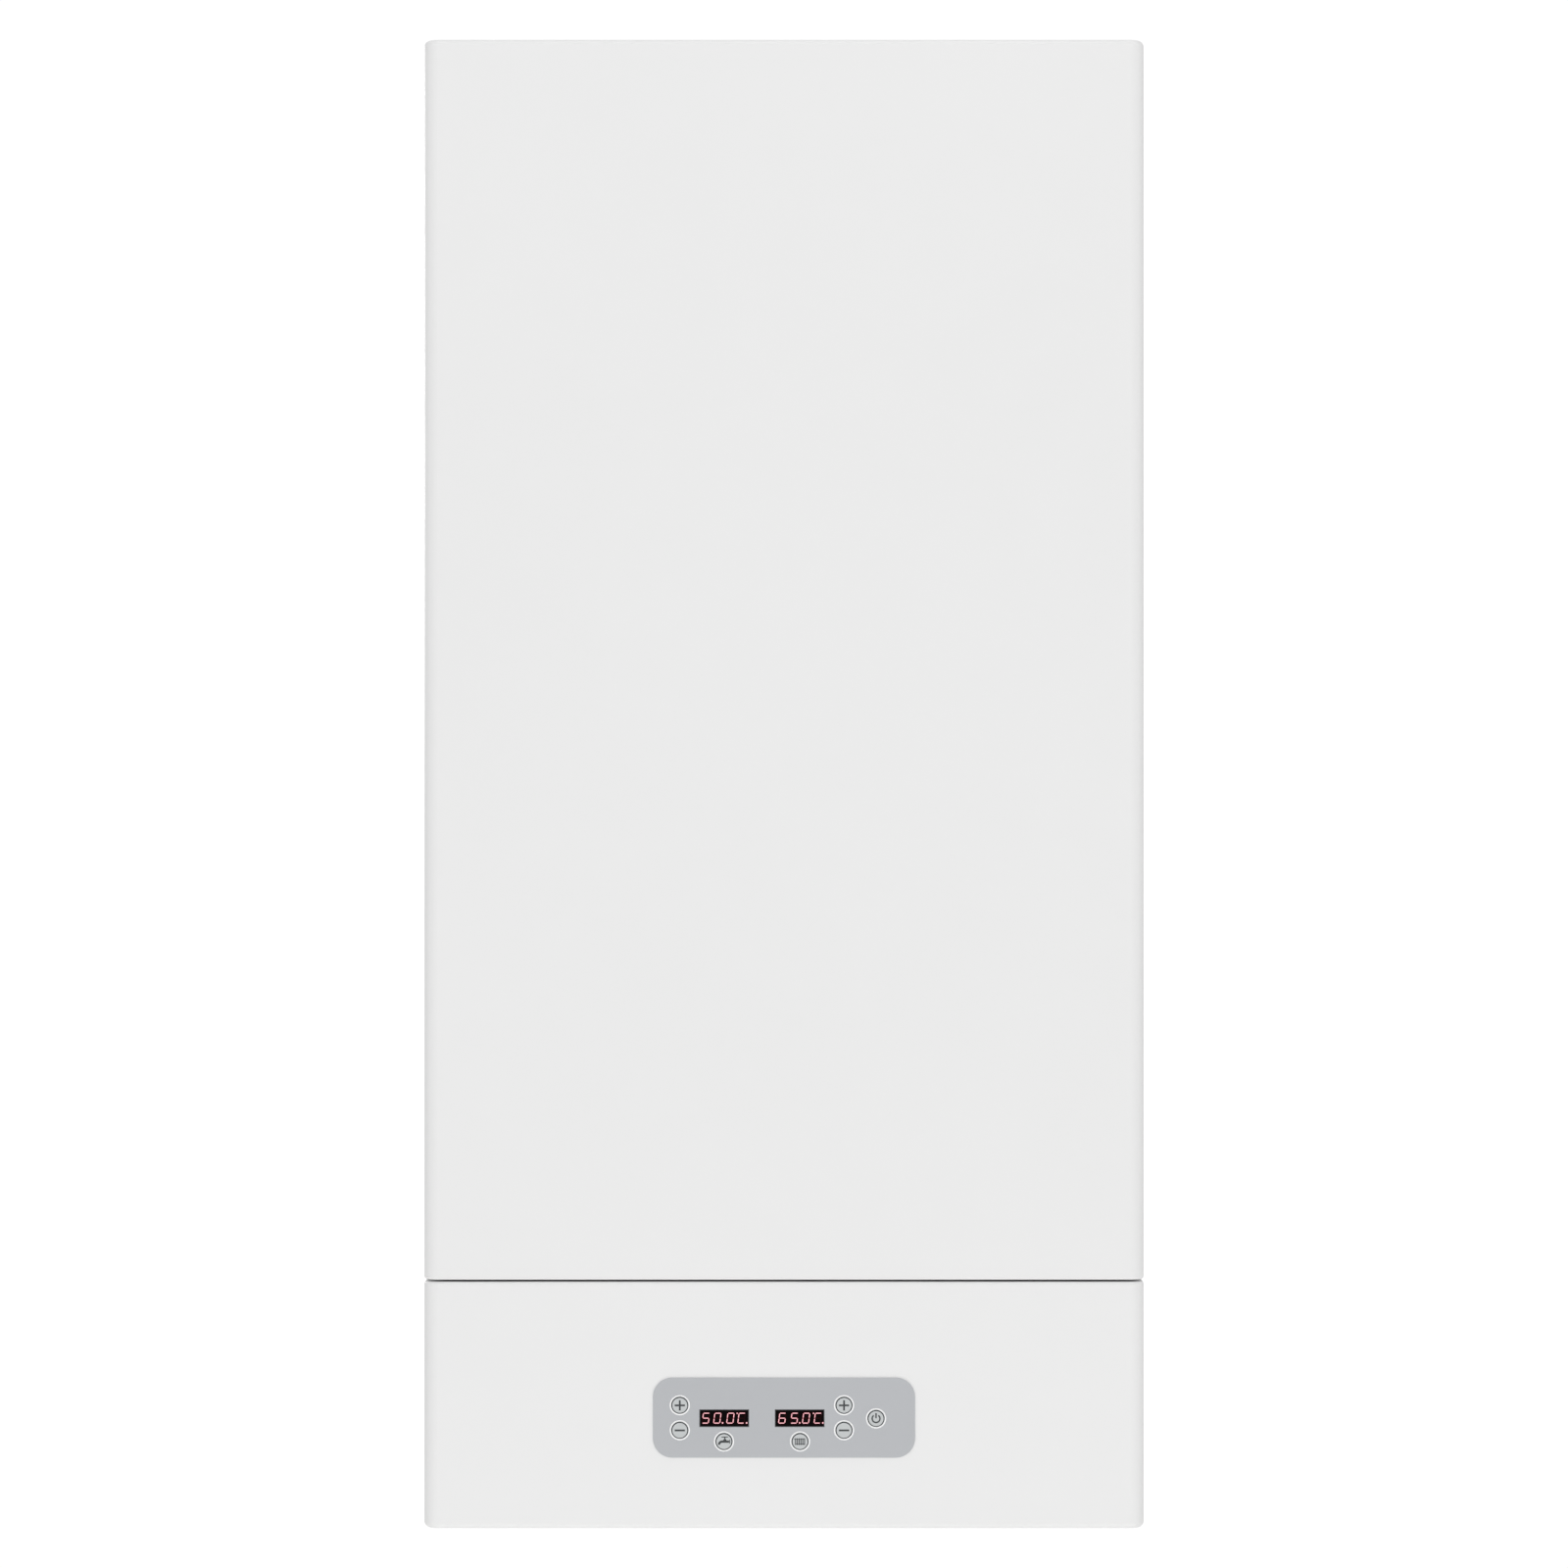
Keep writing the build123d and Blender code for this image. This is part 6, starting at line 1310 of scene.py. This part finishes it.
# %% Small chips
BOARD_FACE = -163.1
ROWS = (-184, -179.5, -175, -170.5, -166, -161.5, -157, -152.5)
grid = [(x, BOARD_FACE - 0.3, z) for z in ROWS for x in range(-182, -82, 5)]
# the large chip's own place stays free
grid = [spot for spot in grid if not (-150 < spot[0] < -118 and -181 < spot[2] < -158)]
# the same seed keeps the same places, so each chip gets its bright solder under it
SAME = {"Share": 0.55, "Seed": 11, "Quarter": 1}
made = chip_tree.grow("chip_bodies", grid, **SAME)
new_piece("chip_bodies", made, dark_plastic, "casing")
print("small chips:", len(made.polygons) // 6)
made = chip_tree.grow("chip_solder", grid, Size=(2.9 * MM, 0.5 * MM, 1.0 * MM), **SAME)
new_piece("chip_solder", made, plating, "casing")

# %% Large chips and their legs
# place across and up, width and height
LARGE_CHIPS = [(-134, -169.5, 22.0, 15.0)] + [(x, -252, 20.0, 7.0) for x in (-163, -134, -105)]
LEG_PITCH, CHIP_FACE = 2.54, BOARD_FACE - 3.4
cases, legs = [], []
for x, z, wide, tall in LARGE_CHIPS:
    left, low, high = x - wide / 2, z - tall / 2, z + tall / 2
    cases.append(block(left, left + wide, CHIP_FACE, BOARD_FACE - 0.4, low, high, 0.5))
    dot = [(0, 0), (0.9, 0), (0.7, -0.12), (0, -0.12)]
    cases.append(turned(dot, (left + 2.2, CHIP_FACE, z), "Y", 16))
    for i in range(int((wide - 2) / LEG_PITCH)):
        for side in (-1, 1):
            foot = z + side * (tall / 2 + 0.6)
            legs.append((left + 2.3 + i * LEG_PITCH, BOARD_FACE - 1.0, foot))
new_piece("large_chips", cases, dark_plastic, "casing")
made = chip_tree.grow("chip_legs", legs, Size=(0.6 * MM, 1.9 * MM, 1.6 * MM))
new_piece("chip_legs", made, plating, "casing")
print("legs:", len(legs))

# %% Resistors and fuse
RESISTOR = mirrored([
    (0, 7.5), (0.35, 7.5), (0.35, 3.4), (1.1, 3.2), (1.35, 2.6), (1.35, 1.9), (1.1, 1.5),
])
resistors = []
for i in range(7):
    place = (-176 + i * 14.6, BOARD_FACE - 1.5, -276 - 4 * (i % 2))
    resistors.append(turned(RESISTOR, place, "X" if i % 3 else "Z", 16))
print("resistors:", len(resistors))
new_piece("resistors", resistors, beige_plastic, "casing", smooth=35)
FUSE = (-84, BOARD_FACE - 3.4, -236)
glass = turned(mirrored([(0, 9), (2.5, 9)]), FUSE, "Z", 24)
new_piece("fuse_body", glass, white_plastic, "casing", smooth=30)
cap = mirrored([(0, 3), (2.7, 3), (2.9, 2.7)])
caps = [turned([(r, end + along) for r, along in cap], FUSE, "Z", 24) for end in (-8, 8)]
new_piece("fuse_caps", caps, plating, "casing", smooth=30)

# %% Transformer, plugs and capacitors
# the core, and the bobbin's flanges round the yellow winding
core = [
    block(-160.5, -143.5, -192.3, -163.4, -233.5, -194.5, 0.5),
    block(-172.8, -170.6, -190.4, -163.4, -232.2, -195.8, 0.3),
    block(-133.4, -131.2, -190.4, -163.4, -232.2, -195.8, 0.3),
]
new_piece("transformer_core", core, casting, "casing", smooth=30)
PLUGS, PLUG_PITCH, WAYS, WAY_PITCH = 6, 17, 4, 3.2
openings = [
    (-174.5 + PLUG_PITCH * plug - 4.8 + WAY_PITCH * way, -174.15, -300.5)
    for plug in range(PLUGS) for way in range(WAYS)
]
made = chip_tree.grow("plug_openings", openings, Size=(2.2 * MM, 0.3 * MM, 5.0 * MM))
new_piece("plug_openings", made, black_plastic, "casing")
LID = [(0, -0.25), (5.4, -0.25), (5.7, 0), (6.35, 0), (6.35, 1.0), (0, 1.0)]
CAN_Y, CAN_Z, LONG, SLIM = -183.15, -214, 4.6, 0.25
tops = []
for x in (-115.8, -97.8):
    tops.append(turned(LID, (x, CAN_Y, CAN_Z), "Y", 40))
    for half_u, half_v in ((LONG, SLIM), (SLIM, LONG)):
        score = bar(x - half_u, x + half_u, CAN_Z - half_v, CAN_Z + half_v)
        tops.append(prism(score, "Y", -183.6, -183.2, 0.08))
new_piece("capacitor_tops", tops, stainless, "casing", smooth=30)
print("plug openings:", len(openings))

# %% [markdown]
# ## Earth stud, filling valve and dial scale
#
# A brass stud on the electrics plate takes the earth lead. The expansion vessel has a
# filling valve under a black cap. The pump's dial has seven ticks on the box round it.

# %% Earth stud
STUD_X, PLATE_FACE, STUD_Z, STUD_NUT = -84.0, -151.5, -340.0, 5.0
STUD = (STUD_X, PLATE_FACE, STUD_Z)
rod = [(0, -1)] + [(3.0 if i % 2 else 2.5, -1 - 0.45 * i) for i in range(34)]
rod += [(1.8, -17.0), (0, -17.0)]
stud = [turned([(0, 0), (7.0, 0), (7.0, -1.0), (6.8, -1.2), (0, -1.2)], STUD, "Y", 32)]
for front, rear in ((-5.6, -1.2), (-10.6, -6.2)):
    stud.append(prism(
        hexagon(STUD_NUT), "Y", PLATE_FACE + front, PLATE_FACE + rear, 0.5, (STUD_X, 0, STUD_Z),
    ))
stud.append(turned(rod, STUD, "Y", 28))
new_piece("earth_stud", stud, brass, "casing", smooth=30)

# %% Filling valve
VALVE = (0, -88.2, -150)
seat = [(0, 1), (9, 1), (9, -0.8), (8.4, -1.4), (4.5, -1.6), (4.2, -4), (0, -4)]
new_piece("filling_valve", turned(seat, VALVE, "Y", 40), brass, "casing", smooth=30)
cap = turned([(0, -3), (5.6, -3), (5.9, -3.4), (5.7, -11), (5.0, -12), (0, -12.2)], VALVE, "Y", 40)
grip = rib_tree.grow(
    "cap_ribs", [(0, 0, 0)], Ring=5.7 * MM, Rib=0.45 * MM, Length=7.0 * MM, Count=18,
)
grip_middle = (Vector(VALVE) - Vector((0, 7.3, 0))) * MM
grip.transform(Matrix.Translation(grip_middle) @ Matrix.Rotation(math.radians(90), 4, "X"))
new_piece("valve_cap", [cap, grip], black_plastic, "casing", smooth=35)
print("valve at", VALVE)

# %% Dial scale
DIAL_X, DIAL_Z, BOX_FACE = 0.130, -0.550, -0.242
NEAR, FAR, HALF_TICK = 13.6, 17.0, 0.45
ticks = []
for angle in range(-45, 226, 45):
    out = Vector((math.cos(math.radians(angle)), math.sin(math.radians(angle))))
    side = Vector((-out.y, out.x)) * HALF_TICK
    near, far = out * NEAR, out * FAR
    ticks.append([tuple(near + side), tuple(near - side), tuple(far - side), tuple(far + side)])
scale = plates(ticks, DIAL_X, DIAL_Z, BOX_FACE, 0.06 * MM)
new_piece("dial_scale", scale, white_ink, "casing")
print("ticks:", len(ticks))

# %% [markdown]
# ## The floor
#
# A pale floor lies under the boiler. It fades to the white of the surroundings with
# distance, so that no line shows where it ends.

# %% Floor
FLOOR_LEVEL, FLOOR_HALF, FADE_FROM = -2.1, 5.0, 1.1
bm = bmesh.new()
bmesh.ops.create_grid(bm, x_segments=8, y_segments=8, size=FLOOR_HALF)
floor_mesh = plain_mesh("floor", bm)
floor_mesh.transform(Matrix.Translation((0, 0, FLOOR_LEVEL)))
floor = bpy.data.objects.new("floor", floor_mesh)
scene.collection.objects.link(floor)
pale = Finish("pale_floor", Roughness=0.7)
pale.surface(shade(242, 242, 240), shade(247, 247, 245), cloud=(0.8,), grain=(0.01,), depth=0.0002)
# distance from the middle, whatever the height
outward = pale.node("ShaderNodeVectorMath", operation="LENGTH")
pale.plug(pale.stretched(1, 1, 1e6), outward.inputs[0])
fade = pale.span(outward.outputs["Value"], FADE_FROM, FLOOR_HALF * 0.95, 0.0, 1.0)
backdrop = pale.node("ShaderNodeEmission")
backdrop.inputs["Strength"].default_value = 1.0
fading = pale.node("ShaderNodeMixShader")
for socket, value in enumerate((fade, pale.shader.outputs[0], backdrop.outputs[0])):
    pale.plug(value, fading.inputs[socket])
pale.plug(fading.outputs[0], pale.tree.nodes["Material Output"].inputs["Surface"])
floor_mesh.materials.append(pale.material)
floor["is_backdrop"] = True
print("floor at", FLOOR_LEVEL)

# %% [markdown]
# ## Sizes and the end
#
# The dressed boiler is meant to stay inside the box of the imported model. How far
# it grew past that box on each side is printed.

# %% Sizes
REPLACED = {"pipe_stubs", "casing_screws"}
bare = set(nodes) - dressed - REPLACED
print("parts without a finish:", sorted(bare))
low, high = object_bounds()
grown = [[round(v / MM, 2) for v in gap] for gap in (high - cad_high, cad_low - low)]
print("grew by", *grown, "mm")
